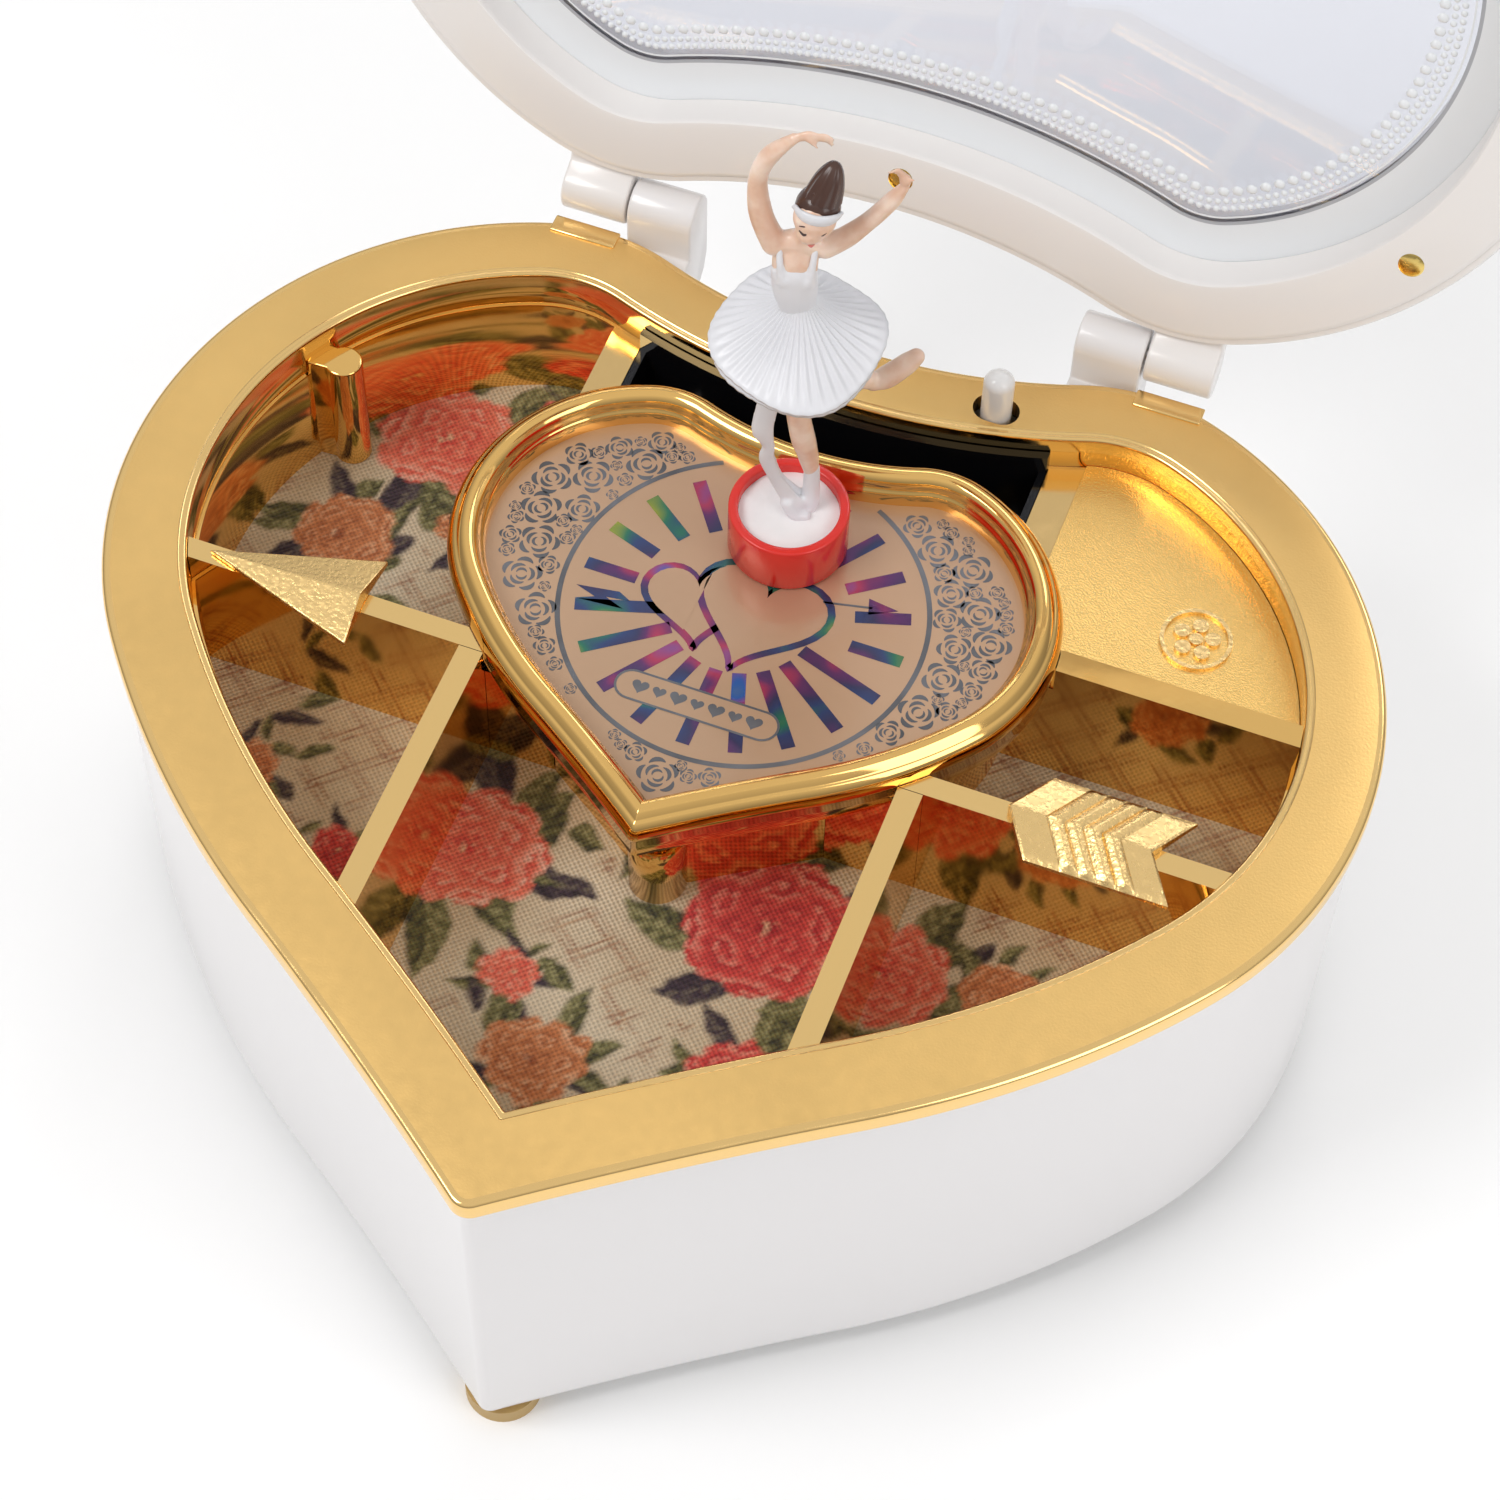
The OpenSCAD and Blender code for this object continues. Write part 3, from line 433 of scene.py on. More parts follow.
SHOULDER_C = from_centre(LOBE_C, LOBE_R - SHOULDER_R, LOBE_TO)
SIDE_C = from_centre(LOBE_C, LOBE_R - SIDE_R, SIDE_FROM)
WAIST_C = from_centre(SIDE_C, SIDE_R + WAIST_R, WAIST_FROM)
CLEFT_REACH = SHOULDER_C[0] / -math.cos(SHOULDER_TO)
CLEFT_C = np.array([0.0, SHOULDER_C[1] + CLEFT_REACH * math.sin(SHOULDER_TO)])
CLEFT_R = CLEFT_REACH - SHOULDER_R


def arc(c, r, a, b, n):
    return [from_centre(c, r, a + (b - a) * i / n) for i in range(n)]


def heart(d, k=1.0, stretch=1.0, dy=0.0):
    """The outline moved in by d, then scaled by k. Every outline has the same number of points."""
    d = d / k
    tip = max(TIP_R - d, 0.35)
    reach = WAIST_R + d + tip
    tip_c = np.array([0.0, WAIST_C[1] + math.sqrt(reach ** 2 - WAIST_C[0] ** 2)])
    turn = math.atan2(WAIST_C[1] - tip_c[1], WAIST_C[0])
    half = arc(tip_c, tip, -math.pi / 2, turn, 5)
    half += arc(WAIST_C, WAIST_R + d, turn + math.pi, WAIST_FROM + math.pi, 12)
    half += arc(SIDE_C, SIDE_R - d, WAIST_FROM, SIDE_FROM, 22)
    half += arc(LOBE_C, LOBE_R - d, SIDE_FROM, LOBE_TO, 56)
    half += arc(SHOULDER_C, SHOULDER_R - d, LOBE_TO, SHOULDER_TO, 20)
    half += arc(CLEFT_C, CLEFT_R + d, SHOULDER_TO - math.pi, -math.pi / 2, 18)
    half.append(from_centre(CLEFT_C, CLEFT_R + d, -math.pi / 2))
    right = np.array(half) * k
    left = right[-2:0:-1] * (-1, 1)
    out = np.vstack([right, left])
    out[:, 1] = out[:, 1] * stretch + dy
    return out


STAGE_K, STAGE_LONG, STAGE_DY = 0.485, 0.97, 6.0


def stage_heart(d):
    return heart(d, STAGE_K, STAGE_LONG, STAGE_DY)


def inside(loop, x, y):
    """Which of the points (x, y) lie inside the loop."""
    hit = np.zeros(len(x), bool)
    for (x1, y1), (x2, y2) in zip(loop, np.roll(loop, -1, axis=0)):
        if y1 == y2:
            continue
        crosses = ((y1 > y) != (y2 > y)) & (x < (x2 - x1) * (y - y1) / (y2 - y1) + x1)
        hit ^= crosses
    return hit


def ring_sweep(name, profile, look, body, outline=None, closed=True, looks_at=None, **more):
    """Sweeps a profile of (inset, z) or (inset, z, dy) round the heart."""
    verts, faces, mats = [], [], []
    for point in profile:
        d, z = point[:2]
        dy = point[2] if len(point) > 2 else 0.0
        loop = outline(d) if outline else heart(d)
        verts += [(p[0], p[1] + dy, z) for p in loop]
    n = len(verts) // len(profile)
    rows = len(profile)
    for i in range(rows if closed else rows - 1):
        j = (i + 1) % rows
        for a in range(n):
            b = (a + 1) % n
            faces.append((i * n + a, i * n + b, j * n + b, j * n + a))
            mats.append(looks_at[i] if looks_at else 0)
    return put(name, verts, faces, look, body, mats=mats if looks_at else None, **more)


def slab(name, loop, z0, z1, look, body, **more):
    """A flat plate with that outline."""
    n = len(loop)
    verts = [(x, y, z0) for x, y in loop] + [(x, y, z1) for x, y in loop]
    faces = [tuple(reversed(range(n))), tuple(range(n, 2 * n))]
    faces += [(i, (i + 1) % n, n + (i + 1) % n, n + i) for i in range(n)]
    return put(name, verts, faces, look, body, **more)


def lathe(name, profile, centre, look, body, turns=64, **more):
    """Turns a profile of (r, height) about an upright axis through centre."""
    verts = []
    for r, h in profile:
        for i in range(turns):
            t = 2 * math.pi * i / turns
            v = (r * math.cos(t), r * math.sin(t), h)
            verts.append(tuple(a + b for a, b in zip(v, centre)))
    faces = grid_quads(len(profile) - 1, turns)
    faces.append(tuple(reversed(range(turns))))
    faces.append(tuple(range(len(verts) - turns, len(verts))))
    return put(name, verts, faces, look, body, **more)


def quarter(cx, cz, rx, rz, a, b, n=5):
    """Points of an elliptical arc in a profile; angles in degrees."""
    steps = [math.radians(a + (b - a) * i / n) for i in range(n + 1)]
    return [(cx + rx * math.cos(t), cz + rz * math.sin(t)) for t in steps]


def stadium(cx, cy, half, r):
    """An oval of two half circles of radius r, their centres half to either side."""
    return [p for side, start in ((1, -90), (-1, 90))
            for p in quarter(cx + side * half, cy, r, r, start, start + 180, 12)]


# ---------------------------------------------------------------- case
RIM_BOT = 69.0
RIM_DY = 1.0
LEFT_RIGHT = ((-1, "l"), (1, "r"))
HINGE_Y, HINGE_Z, BARREL_R = 62.5, 74.5, 3.8


def make_case():
    wall = [(1.0, RIM_BOT), (1.0, 6.2), (1.1, 5.2), (1.5, 4.4), (2.2, 4.05), (3.1, 4.0), (3.38, 4.2),
            (3.38, RIM_BOT)]
    case = ring_sweep("case_wall", wall, "pearl_white", "case", slot="pearl_white")
    sharpen(case, 40)
    for s, letter in LEFT_RIGHT:
        knuckle(f"case_knuckle_{letter}", s, (30.0, 40.3), False)
    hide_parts("body_shell")


def barrel_arc(a, b, n):
    return quarter(HINGE_Y, HINGE_Z, BARREL_R, BARREL_R, a, b, n)


def knuckle(name, side, span, on_lid):
    """One hinge barrel with its arm, as an outline in Y and Z pushed along X."""
    if on_lid:
        pts = barrel_arc(95, -105, 18) + barrel_arc(-105, -145, 5)
        pts += [(HINGE_Y - 4.6, HINGE_Z - 0.6), (55.2, HINGE_Z - 0.4), (55.2, HINGE_Z + BARREL_R)]
    else:
        pts = barrel_arc(180, 0, 18)
        pts += [(66.3, 66.0), (66.1, 63.5), (65.0, 61.0), (62.5, 58.8), (59.5, 57.4), (54.5, 57.0),
                (54.5, 68.9), (58.7, 68.9)]
    x0, x1 = (side * v for v in span)
    verts = [(x, y, z) for x in (x0, x1) for y, z in pts]
    if on_lid:
        verts = [lid_place(v) for v in verts]
    look, body = ("lid_cream", "lid") if on_lid else ("pearl_white", "case")
    ob = put(name, verts, prism_faces(len(pts)), look, body)
    bevel(ob, 0.45, 3, 40)
    apply_modifiers(ob)
    return sharpen(ob, 50)


LID_BARREL = (40.7, 51.0)
RIM_TAB = ((54.3, 71.6), (57.6, 71.6), (57.6, 72.1), (57.3, 72.33), (54.5, 72.33))


def make_rim():
    edge = [(0.0, RIM_BOT), (0.0, 71.2)] + quarter(0.8, 71.2, 0.8, 0.8, 180, 90, 4)[1:]
    top = [(1.05, 71.95), (1.25, 71.98), (6.0, 72.0), (10.2, 71.98, RIM_DY)]
    lip = [(10.35, 71.8, RIM_DY), (10.6, 71.75, RIM_DY), (10.9, 71.85, RIM_DY), (11.2, 71.82, RIM_DY),
           (11.42, 71.6, RIM_DY), (11.5, 71.2, RIM_DY), (11.5, RIM_BOT, RIM_DY)]
    profile = edge + top + lip
    kinds = [0] * (len(edge) - 1) + [0, 0, 1, 1, 0] + [0] * (len(lip) - 1) + [0]
    rim = ring_sweep("rim", profile, ["gold_edge", "gold_satin"], "case", looks_at=kinds,
                     slot="gold_satin", stands_for=["tray_rim"])
    cut_slot(rim)
    sharpen(rim, 40)
    for s, letter in LEFT_RIGHT:
        verts = [(s * x, y, z) for x in LID_BARREL for y, z in RIM_TAB]
        tab = put(f"rim_tab_{letter}", verts, prism_faces(5), "gold_edge", "case", slot="gold_satin")
        sharpen(bevel(tab, 0.2, 2), 40)


PLUNGER_AT = (22.5, 46.5)


def cut_slot(ob):
    """Cuts the plunger's oval slot through the rim."""
    loop = stadium(*PLUNGER_AT, 1.0, 2.5)
    cut_away(ob, slab("cutter", loop, 60, 80, "black_gloss", "case"))


TRAY_LOW = 43.7
WALLS = ("divider_front_left", "divider_front_right", "divider_back_left", "divider_back_right",
         "arrow_shaft")


def make_tray():
    low = 12.2
    inner = [(11.5, 69.05), (11.5, 65.7), (11.6, 65.55), (low - 0.1, 65.5), (low, 65.3), (low, TRAY_LOW),
             (10.1, TRAY_LOW), (10.1, 69.05)]
    wall = ring_sweep("tray_inner_wall", [(d, z, RIM_DY) for d, z in inner], "gold_mirror", "case",
                      slot="gold_mirror", stands_for=["tray_wall"])
    sharpen(wall, 40)
    # post against the left wall
    loop = [(-71 + 2.8 * math.cos(t), 23 + 2.8 * math.sin(t)) for t in np.linspace(-2.3, 2.3, 25)]
    loop += [(-76, 25.2), (-76, 20.8)]
    post = slab("tray_post", loop, 46.4, 68.0, "gold_mirror", "case", slot="gold_mirror")
    sharpen(bevel(post, 0.35, 3, 50), 50)
    tower = [(6.5, TRAY_LOW), (6.5, 68.35), (8.0, 68.35), (8.0, TRAY_LOW)]
    stem = ring_sweep("stage_stem", tower, "gold_mirror", "case", outline=stage_heart,
                      slot="gold_mirror", stands_for=["stage_tower"])
    sharpen(stem, 40)
    tip_y = stage_heart(6.5)[0][1]
    lathe("stage_column", [(4.2, TRAY_LOW), (4.2, 66.2)], (0, tip_y + 2.0, 0), "gold_mirror", "case",
          slot="gold_mirror")
    for name in (*WALLS, "shelf"):
        bevel(nodes[name], 0.3, 2)
        dress(name, "gold_mirror")
    dress_faces("shelf", "gold_stipple", lambda c, n: c.z < 0.0662 and n.z > 0.7)
    for name in WALLS:
        dress_faces(name, "gold_edge", lambda c, n: n.z > 0.7)
    bevel(nodes["rear_cover"], 0.25, 2)
    dress("rear_cover", "black_gloss")


def dress(name, look):
    ob = nodes[name]
    if not ob.material_slots:
        ob.data.materials.append(LOOKS[look])
    for s in ob.material_slots:
        s.material = LOOKS[look]
    return ob


def dress_faces(name, look, test):
    """Gives the faces of a CAD node that pass the test another look."""
    ob = nodes[name]
    ob.data.materials.append(LOOKS[look])
    index = len(ob.data.materials) - 1
    for p in ob.data.polygons:
        if test(p.center, p.normal):
            p.material_index = index


def make_arrow():
    """The head and the feathers lie on the shaft, which sits just under the rim."""
    y0, z0 = -17.9, 71.05
    head = [(-73.0, 0.0), (-48.8, 7.3), (-49.4, 0.0), (-48.8, -7.9)]
    ridge = [(-72.0, 0.0), (-49.6, 0.0)]
    verts = [(x, y0 + y, z0) for x, y in head] + [(x, y0 + y, z0 + 0.9) for x, y in head]
    verts += [(ridge[0][0], y0, z0 + 1.2), (ridge[1][0], y0 - 0.3, z0 + 2.6)]
    faces = [(3, 2, 1, 0), (0, 1, 5, 4), (1, 2, 6, 5), (2, 3, 7, 6), (3, 0, 4, 7),
             (4, 5, 9, 8), (5, 6, 9), (6, 7, 9), (7, 4, 8, 9)]
    top = put("arrowhead", verts, faces, "gold_grain", "case", slot="gold_mirror", stands_for=["arrow_head"])
    sharpen(bevel(top, 0.25, 2, 12), 12)
    make_feathers(y0, z0)


def make_feathers(y0, z0):
    """One piece of two slanting feathers with four raised chevrons between its flat ends."""
    long_steps, cross_steps = 120, 32
    half, lean, x_start, length = 7.0, 4.4, 45.8, 20.4
    verts, faces = [], []
    for layer in (0, 1):
        for i in range(long_steps + 1):
            u = i / long_steps
            beat = (u - 0.26) / 0.13
            rib = 0.6 * (1 - 2 * abs(beat % 1 - 0.5)) ** 0.6 if 0 < beat < 4 else 0.0
            for k in range(cross_steps + 1):
                v = 2 * k / cross_steps - 1
                roof = 1.9 - 1.0 * abs(v)
                rim = min(1.0, (1 - abs(v)) * 9, u * 40 + 0.4, (1 - u) * 40 + 0.4)
                top = roof * (0.75 + 0.25 * rim) + rib * rim
                verts.append((x_start + lean * abs(v) + u * length, y0 + half * v, z0 + layer * top))
    across = cross_steps + 1
    count = (long_steps + 1) * across
    for layer in (0, 1):
        for i in range(long_steps):
            for k in range(cross_steps):
                a = layer * count + i * across + k
                quad = (a, a + across, a + across + 1, a + 1)
                faces.append(quad if layer else quad[::-1])
    for i in range(long_steps):
        for k in (0, cross_steps):
            a = i * across + k
            faces.append((a, a + across, count + a + across, count + a))
    for k in range(cross_steps):
        for i in (0, long_steps):
            a = i * across + k
            faces.append((a, a + 1, count + a + 1, count + a))
    feathers = put("arrow_feathers", verts, faces, "gold_grain", "case", slot="gold_satin",
                   stands_for=["arrow_fletching"])
    sharpen(feathers, 30)


# ---------------------------------------------------------------- printed cloth
CREAM, WARM = np.array([0.72, 0.62, 0.46]), np.array([0.6, 0.47, 0.31])
RED = [(0.42, 0.015, 0.025), (0.72, 0.07, 0.06), (0.86, 0.36, 0.27)]
CORAL = [(0.66, 0.05, 0.04), (0.85, 0.2, 0.12), (0.9, 0.5, 0.38)]
ORANGE = [(0.34, 0.09, 0.03), (0.66, 0.24, 0.09), (0.84, 0.52, 0.32)]
OLIVE = [(0.035, 0.035, 0.02), (0.14, 0.135, 0.045), (0.34, 0.32, 0.15)]
BROWN = [(0.24, 0.08, 0.04), (0.33, 0.13, 0.06), (0.5, 0.28, 0.14)]
PLUM = [(0.02, 0.012, 0.02), (0.05, 0.03, 0.05), (0.16, 0.13, 0.1)]
FLOWERS = [(-27, -36, 12, CORAL), (17, -33, 13.5, RED), (-6, -64, 8.5, ORANGE), (35, -34, 10, CORAL),
           (-58, 30, 12, CORAL), (-37, 38, 10, RED), (-66, 8, 8, ORANGE), (-47, 16, 6.5, ORANGE),
           (52, -32, 6.5, ORANGE), (60, -8, 6, ORANGE), (-62, -34, 5.5, ORANGE), (22, -58, 8, RED),
           (-14, -53, 5, CORAL), (-44, -44, 5, RED), (8, -70, 4.5, CORAL), (42, -50, 5, ORANGE)]


class Cloth:
    """Paints printed motifs on the points of the cloth, like watercolour."""

    def __init__(self, x, y):
        self.wobble = [self.field(x, y, 0.11, 3.0), self.field(x, y, 0.11, 9.0)]
        fine = [self.field(x, y, 0.5, 21.0), self.field(x, y, 0.5, 27.0)]
        self.raw = (x, y)
        self.x = x + 2.0 * self.wobble[0] + 0.5 * fine[0]
        self.y = y + 2.0 * self.wobble[1] + 0.5 * fine[1]
        self.fine = self.field(x, y, 0.85, 33.0)
        wash = np.clip(0.5 + 0.9 * self.field(x, y, 0.06, 40.0), 0, 1)[:, None]
        self.color = CREAM * wash + WARM * (1 - wash)
        self.free = np.ones(len(x))

    @staticmethod
    def field(x, y, scale, seed):
        """Smooth noise within about -1 to 1."""
        return np.array([noise.noise(Vector((a * scale, b * scale, seed))) for a, b in zip(x, y)])

    def lay(self, mask, tones, tone):
        """Lays dark, middle and light tones where the mask is above 0."""
        dark, middle, light = (np.array(c) for c in tones)
        tone = np.clip(tone, 0, 1)[:, None]
        low, high = dark + (middle - dark) * tone * 2, middle + (light - middle) * (tone * 2 - 1)
        ink = np.where(tone < 0.5, low, high)
        mask = np.clip(mask, 0, 1)[:, None]
        self.color = self.color * (1 - mask) + ink * mask

    def flower(self, cx, cy, r, tones, turn):
        dx, dy = self.x - cx, self.y - cy
        dist, angle = np.hypot(dx, dy * 1.12) / r, np.arctan2(dy, dx) + turn
        edge = 0.86 + 0.13 * np.abs(np.sin(4.5 * angle)) + 0.06 * self.fine
        ring = (dist * 3.6 + 0.35 * np.sin(5 * angle + 2.6 * np.floor(dist * 3.6))) % 1.0
        streak = 0.5 + 0.5 * np.sin(34 * angle + 6 * self.fine)
        tone = 0.1 + 0.75 * ring * (0.5 + 0.5 * dist) + 0.22 * streak * dist + 0.25 * self.fine
        self.lay((edge - dist) * r * 1.6, tones, tone)
        self.lay((0.16 - dist) * 12, [tones[0], tones[0], ORANGE[2]], 0.5 + self.fine)
        self.free *= np.clip((dist - 1.35) * 4, 0, 1)

    def leaf(self, cx, cy, length, width, turn, tones):
        dx, dy = self.x - cx, self.y - cy
        u = (dx * math.cos(turn) + dy * math.sin(turn)) / length
        v = (-dx * math.sin(turn) + dy * math.cos(turn)) / width
        bend = v + 0.35 * u * u
        room = np.clip(1 - u * u, 0, 1) * (1 - 0.3 * u) - np.abs(bend)
        veins = np.abs(np.sin(9 * u - 5 * np.abs(bend)))
        tone = 0.2 + 0.45 * veins + 0.5 * self.fine + 0.3 * (np.abs(bend) < 0.09) + 0.18 * np.sign(bend)
        self.lay(room * width * 1.5, tones, tone)
        self.free *= np.clip((np.hypot(u, v) - 1.2) * 4, 0, 1)

    def lattice(self):
        """Crossing pairs of thin brown lines where nothing else is printed."""
        x, y = self.raw
        sway = 0.35 * self.wobble[0]
        lines = np.zeros(len(x))
        for slope in (0.95, -0.75):
            across = (y - slope * x) / math.hypot(1, slope) + sway
            for shift in (0.0, 1.2):
                off = np.abs((across + shift + 2.9) % 5.8 - 2.9)
                lines = np.maximum(lines, np.clip((0.36 - off) * 3.2, 0, 1))
        fade = np.clip(0.7 + 0.5 * self.field(x, y, 0.22, 55.0), 0.25, 0.85)
        self.lay(lines * fade * self.free, BROWN, 0.45 + self.fine)


def paint_cloth(x, y):
    cloth = Cloth(x, y)
    shrubs = random.Random(11)
    for cx, cy, r, _ in FLOWERS:
        for k in range(9):
            a = 2 * math.pi * k / 9 + shrubs.uniform(-0.4, 0.4)
            reach = r * shrubs.uniform(0.95, 1.25)
            cloth.leaf(cx + reach * math.cos(a), cy + reach * math.sin(a), r * shrubs.uniform(0.45, 0.75),
                       r * shrubs.uniform(0.2, 0.32), a + shrubs.uniform(-0.9, 0.9), OLIVE if k % 3 else PLUM)
    for _ in range(75):
        cloth.leaf(shrubs.uniform(-78, 78), shrubs.uniform(-82, 46), shrubs.uniform(2.6, 5.6),
                   shrubs.uniform(1.1, 2.3), shrubs.uniform(0, 6.28), shrubs.choice((OLIVE, OLIVE, PLUM)))
    for cx, cy, r, tones in FLOWERS:
        cloth.flower(cx, cy, r, tones, shrubs.uniform(0, 6.28))
    cloth.lattice()
    return cloth.color


CLOTH_STEP = 0.5
CLOTH_Z = 46.5


def make_lining():
    """The cloth is a fine grid between the tray's wall and the stem of the stage."""
    outer, inner = heart(11.6, 1, 1, RIM_DY), stage_heart(7.6)
    xs = np.arange(-81, 81.01, CLOTH_STEP)
    ys = np.arange(-86, 48.01, CLOTH_STEP)
    gx, gy = (g.ravel() for g in np.meshgrid(xs, ys))
    use = inside(outer, gx, gy) & ~inside(inner, gx, gy)
    index = -np.ones(len(gx), int)
    index[use] = np.arange(use.sum())
    px, py = gx[use], gy[use]
    swell = [CLOTH_Z + 0.12 * noise.noise(Vector((x * 0.06, y * 0.06, 1.3))) for x, y in zip(px, py)]
    verts = list(zip(px, py, swell))
    grid = index.reshape(len(ys), len(xs))
    corners = np.stack([grid[:-1, :-1], grid[:-1, 1:], grid[1:, 1:], grid[1:, :-1]], -1).reshape(-1, 4)
    faces = corners[(corners >= 0).all(1)].tolist()
    cloth = put("lining_cloth", verts, faces, "printed_fabric", "case", slot="printed_fabric",
                stands_for=["fabric_lining"])
    mesh = cloth.data
    where = np.empty(len(mesh.vertices) * 3)
    mesh.vertices.foreach_get("co", where)
    where = where.reshape(-1, 3) / MM
    layer = mesh.color_attributes.new("print", "FLOAT_COLOR", "POINT")
    paint = np.ones((len(where), 4))
    paint[:, :3] = np.clip(paint_cloth(where[:, 0], where[:, 1]), 0, 1)
    layer.data.foreach_set("color", paint.ravel())
    mesh.color_attributes.active_color = layer


# ---------------------------------------------------------------- stage
def make_stage():
    profile = [(0.6, 66.4), (0.6, 70.2), (0.15, 70.5), (0.0, 71.2), (0.12, 72.0), (0.5, 72.9), (1.0, 73.55),
               (1.3, 73.75), (1.45, 73.8), (1.6, 73.95), (2.1, 74.6), (2.6, 74.93), (3.1, 75.0), (3.6, 74.88),
               (4.1, 74.5), (4.5, 73.9), (4.75, 73.1), (4.85, 72.6), (5.1, 72.4), (5.35, 71.9), (5.5, 71.0),
               (5.5, 70.0), (3.6, 70.0), (3.4, 66.4)]
    bezel = ring_sweep("stage_frame", profile, "gold_mirror", "case", outline=stage_heart,
                       slot="gold_mirror", stands_for=["stage_bezel"])
    sharpen(bezel, 60)
    panel = slab("stage_plate", stage_heart(4.0), 68.5, 70.0, "stage_copper", "case", slot="stage_copper",
                 stands_for=["stage_panel"])
    sharpen(panel, 40)
    print_stage()


PRINT_Z = 70.03
PRINT_LAYER = 0.012


class Ink:
    """Collects flat printed shapes into one piece, in the given layer of the print."""

    def __init__(self, layer=0):
        self.verts, self.faces = [], []
        self.z = PRINT_Z + layer * PRINT_LAYER

    def band(self, centre_line, width, closed=False):
        """A flat line of that width, or of a width for each point."""
        pts = np.asarray(centre_line, float)
        n = len(pts)
        widths = np.broadcast_to(width, (n,))
        base = len(self.verts)
        for i in range(n):
            a = pts[i - 1] if (closed or i) else pts[i]
            b = pts[(i + 1) % n] if (closed or i < n - 1) else pts[i]
            t = (b - a) / (np.linalg.norm(b - a) + 1e-9)
            side = np.array([-t[1], t[0]]) * widths[i] / 2
            for q in (pts[i] - side, pts[i] + side):
                self.verts.append((q[0], q[1], self.z))
        for i in range(n if closed else n - 1):
            a, b = base + 2 * i, base + 2 * ((i + 1) % n)
            self.faces.append((a, b, b + 1, a + 1))

    def fill(self, loop):
        base = len(self.verts)
        self.verts += [(x, y, self.z) for x, y in loop]
        for corners in tessellate_polygon([[Vector((x, y, 0)) for x, y in loop]]):
            self.faces.append(tuple(base + k for k in corners))

    def finish(self, name, look):
        ob = put(name, self.verts, self.faces, look, "case", slot="stage_copper", smooth=False)
        for p in ob.data.polygons:
            if p.normal.z < 0:
                p.flip()


def small_heart(cx, cy, size, lean=0.0, n=48, wide=1.0):
    """A simple heart curve, tip down, about `size` wide."""
    pts = []
    for i in range(n):
        t = 2 * math.pi * i / n
        x = 16 * math.sin(t) ** 3
        y = 13 * math.cos(t) - 5 * math.cos(2 * t) - 2 * math.cos(3 * t) - math.cos(4 * t)
        x, y = x * size / 32 * wide, y * size / 32
        c, s = math.cos(lean), math.sin(lean)
        pts.append((cx + c * x - s * y, cy + s * x + c * y))
    return pts


def rose_print(ink, x, y, r, turn):
    """A stencilled rose: two turns of broken arcs round a small bud, inside scalloped petals."""
    for ring, (radius, arcs, width) in enumerate(((0.3, 2, 0.13), (0.58, 3, 0.17), (0.93, 5, 0.22))):
        for k in range(arcs):
            a0 = turn + ring * 0.9 + 2 * math.pi * k / arcs
            span = 2 * math.pi / arcs * 0.8
            pts, widths = [], []
            for i in range(8):
                f = i / 7
                a = a0 + span * f
                q = r * radius * (1 + 0.12 * math.sin(math.pi * f))
                pts.append((x + q * math.cos(a), y + q * math.sin(a)))
                widths.append(r * width * (0.25 + 1.1 * math.sin(math.pi * f)))
            ink.band(pts, widths)


PRINT_C = (0.4, 1.0)
PRINT_RING_R = 26.2
PRINT_MARGIN = 6.3
ROSE_SIZES = ((2.55, 2500), (2.2, 2500), (1.8, 4000), (1.4, 5000), (1.05, 7000), (0.8, 7000))
LEFT_HEART, RIGHT_HEART = (-6.2, 0.2), (2.6, 1.2)
BANNER_HALF, BANNER_R, BANNER_Y = 9.6, 2.35, -16.4


def on_print(r, angle, dy=0.0):
    """The point at that distance and angle from the middle of the print."""
    return PRINT_C[0] + r * math.cos(angle), PRINT_C[1] + dy + r * math.sin(angle)


def shrunk(loop, centre, share):
    return [(x * share + centre[0] * (1 - share), y * share + centre[1] * (1 - share)) for x, y in loop]


def print_ring(ink):
    """The circle round the rays, left out where it would run under the frame."""
    ring = [on_print(PRINT_RING_R, t) for t in np.linspace(0, 2 * math.pi, 121)[:-1]]
    keep = list(inside(stage_heart(PRINT_MARGIN), *np.array(ring).T))
    start = keep.index(False) if False in keep else 0
    run = []
    for step in range(len(ring) + 1):
        at = (start + step) % len(ring)
        if keep[at] and step < len(ring):
            run.append(ring[at])
        elif run:
            ink.band(run + [run[0]] if all(keep) else run, 0.75)
            run = []


def print_roses(ink):
    """Roses of falling size wherever they fit between the circle and the frame."""
    field = stage_heart(6.9)
    dice = np.random.default_rng(5)
    placed = np.empty((0, 3))
    for size, tries in ROSE_SIZES:
        xs, ys = dice.uniform(-40, 40, tries), dice.uniform(-40, 34, tries)
        clear = np.hypot(xs - PRINT_C[0], ys - PRINT_C[1]) > PRINT_RING_R + 0.5 + size
        for t in np.linspace(0, 2 * math.pi, 9)[:-1]:
            clear &= inside(field, xs + size * math.cos(t), ys + size * math.sin(t))
        for x, y in zip(xs[clear], ys[clear]):
            if (np.hypot(placed[:, 0] - x, placed[:, 1] - y) < (placed[:, 2] + size) * 1.02).any():
                continue
            placed = np.vstack([placed, (x, y, size)])
            rose_print(ink, x, y, size, dice.uniform(0, 6.28))


def print_rays(ink):
    """Twenty rays, shorter above the hearts."""
    count, outer, width = 20, 23.7, 2.0
    for k in range(count):
        a = 2 * math.pi * k / count
        if math.sin(a) > 0.9:
            inner = 15.5
        elif math.sin(a) > -0.2:
            inner = 13.6 + 2.4 * math.cos(a) ** 2
        else:
            inner = 10.5
        ink.band([on_print(r, a, -0.3) for r in (inner, outer)], width)


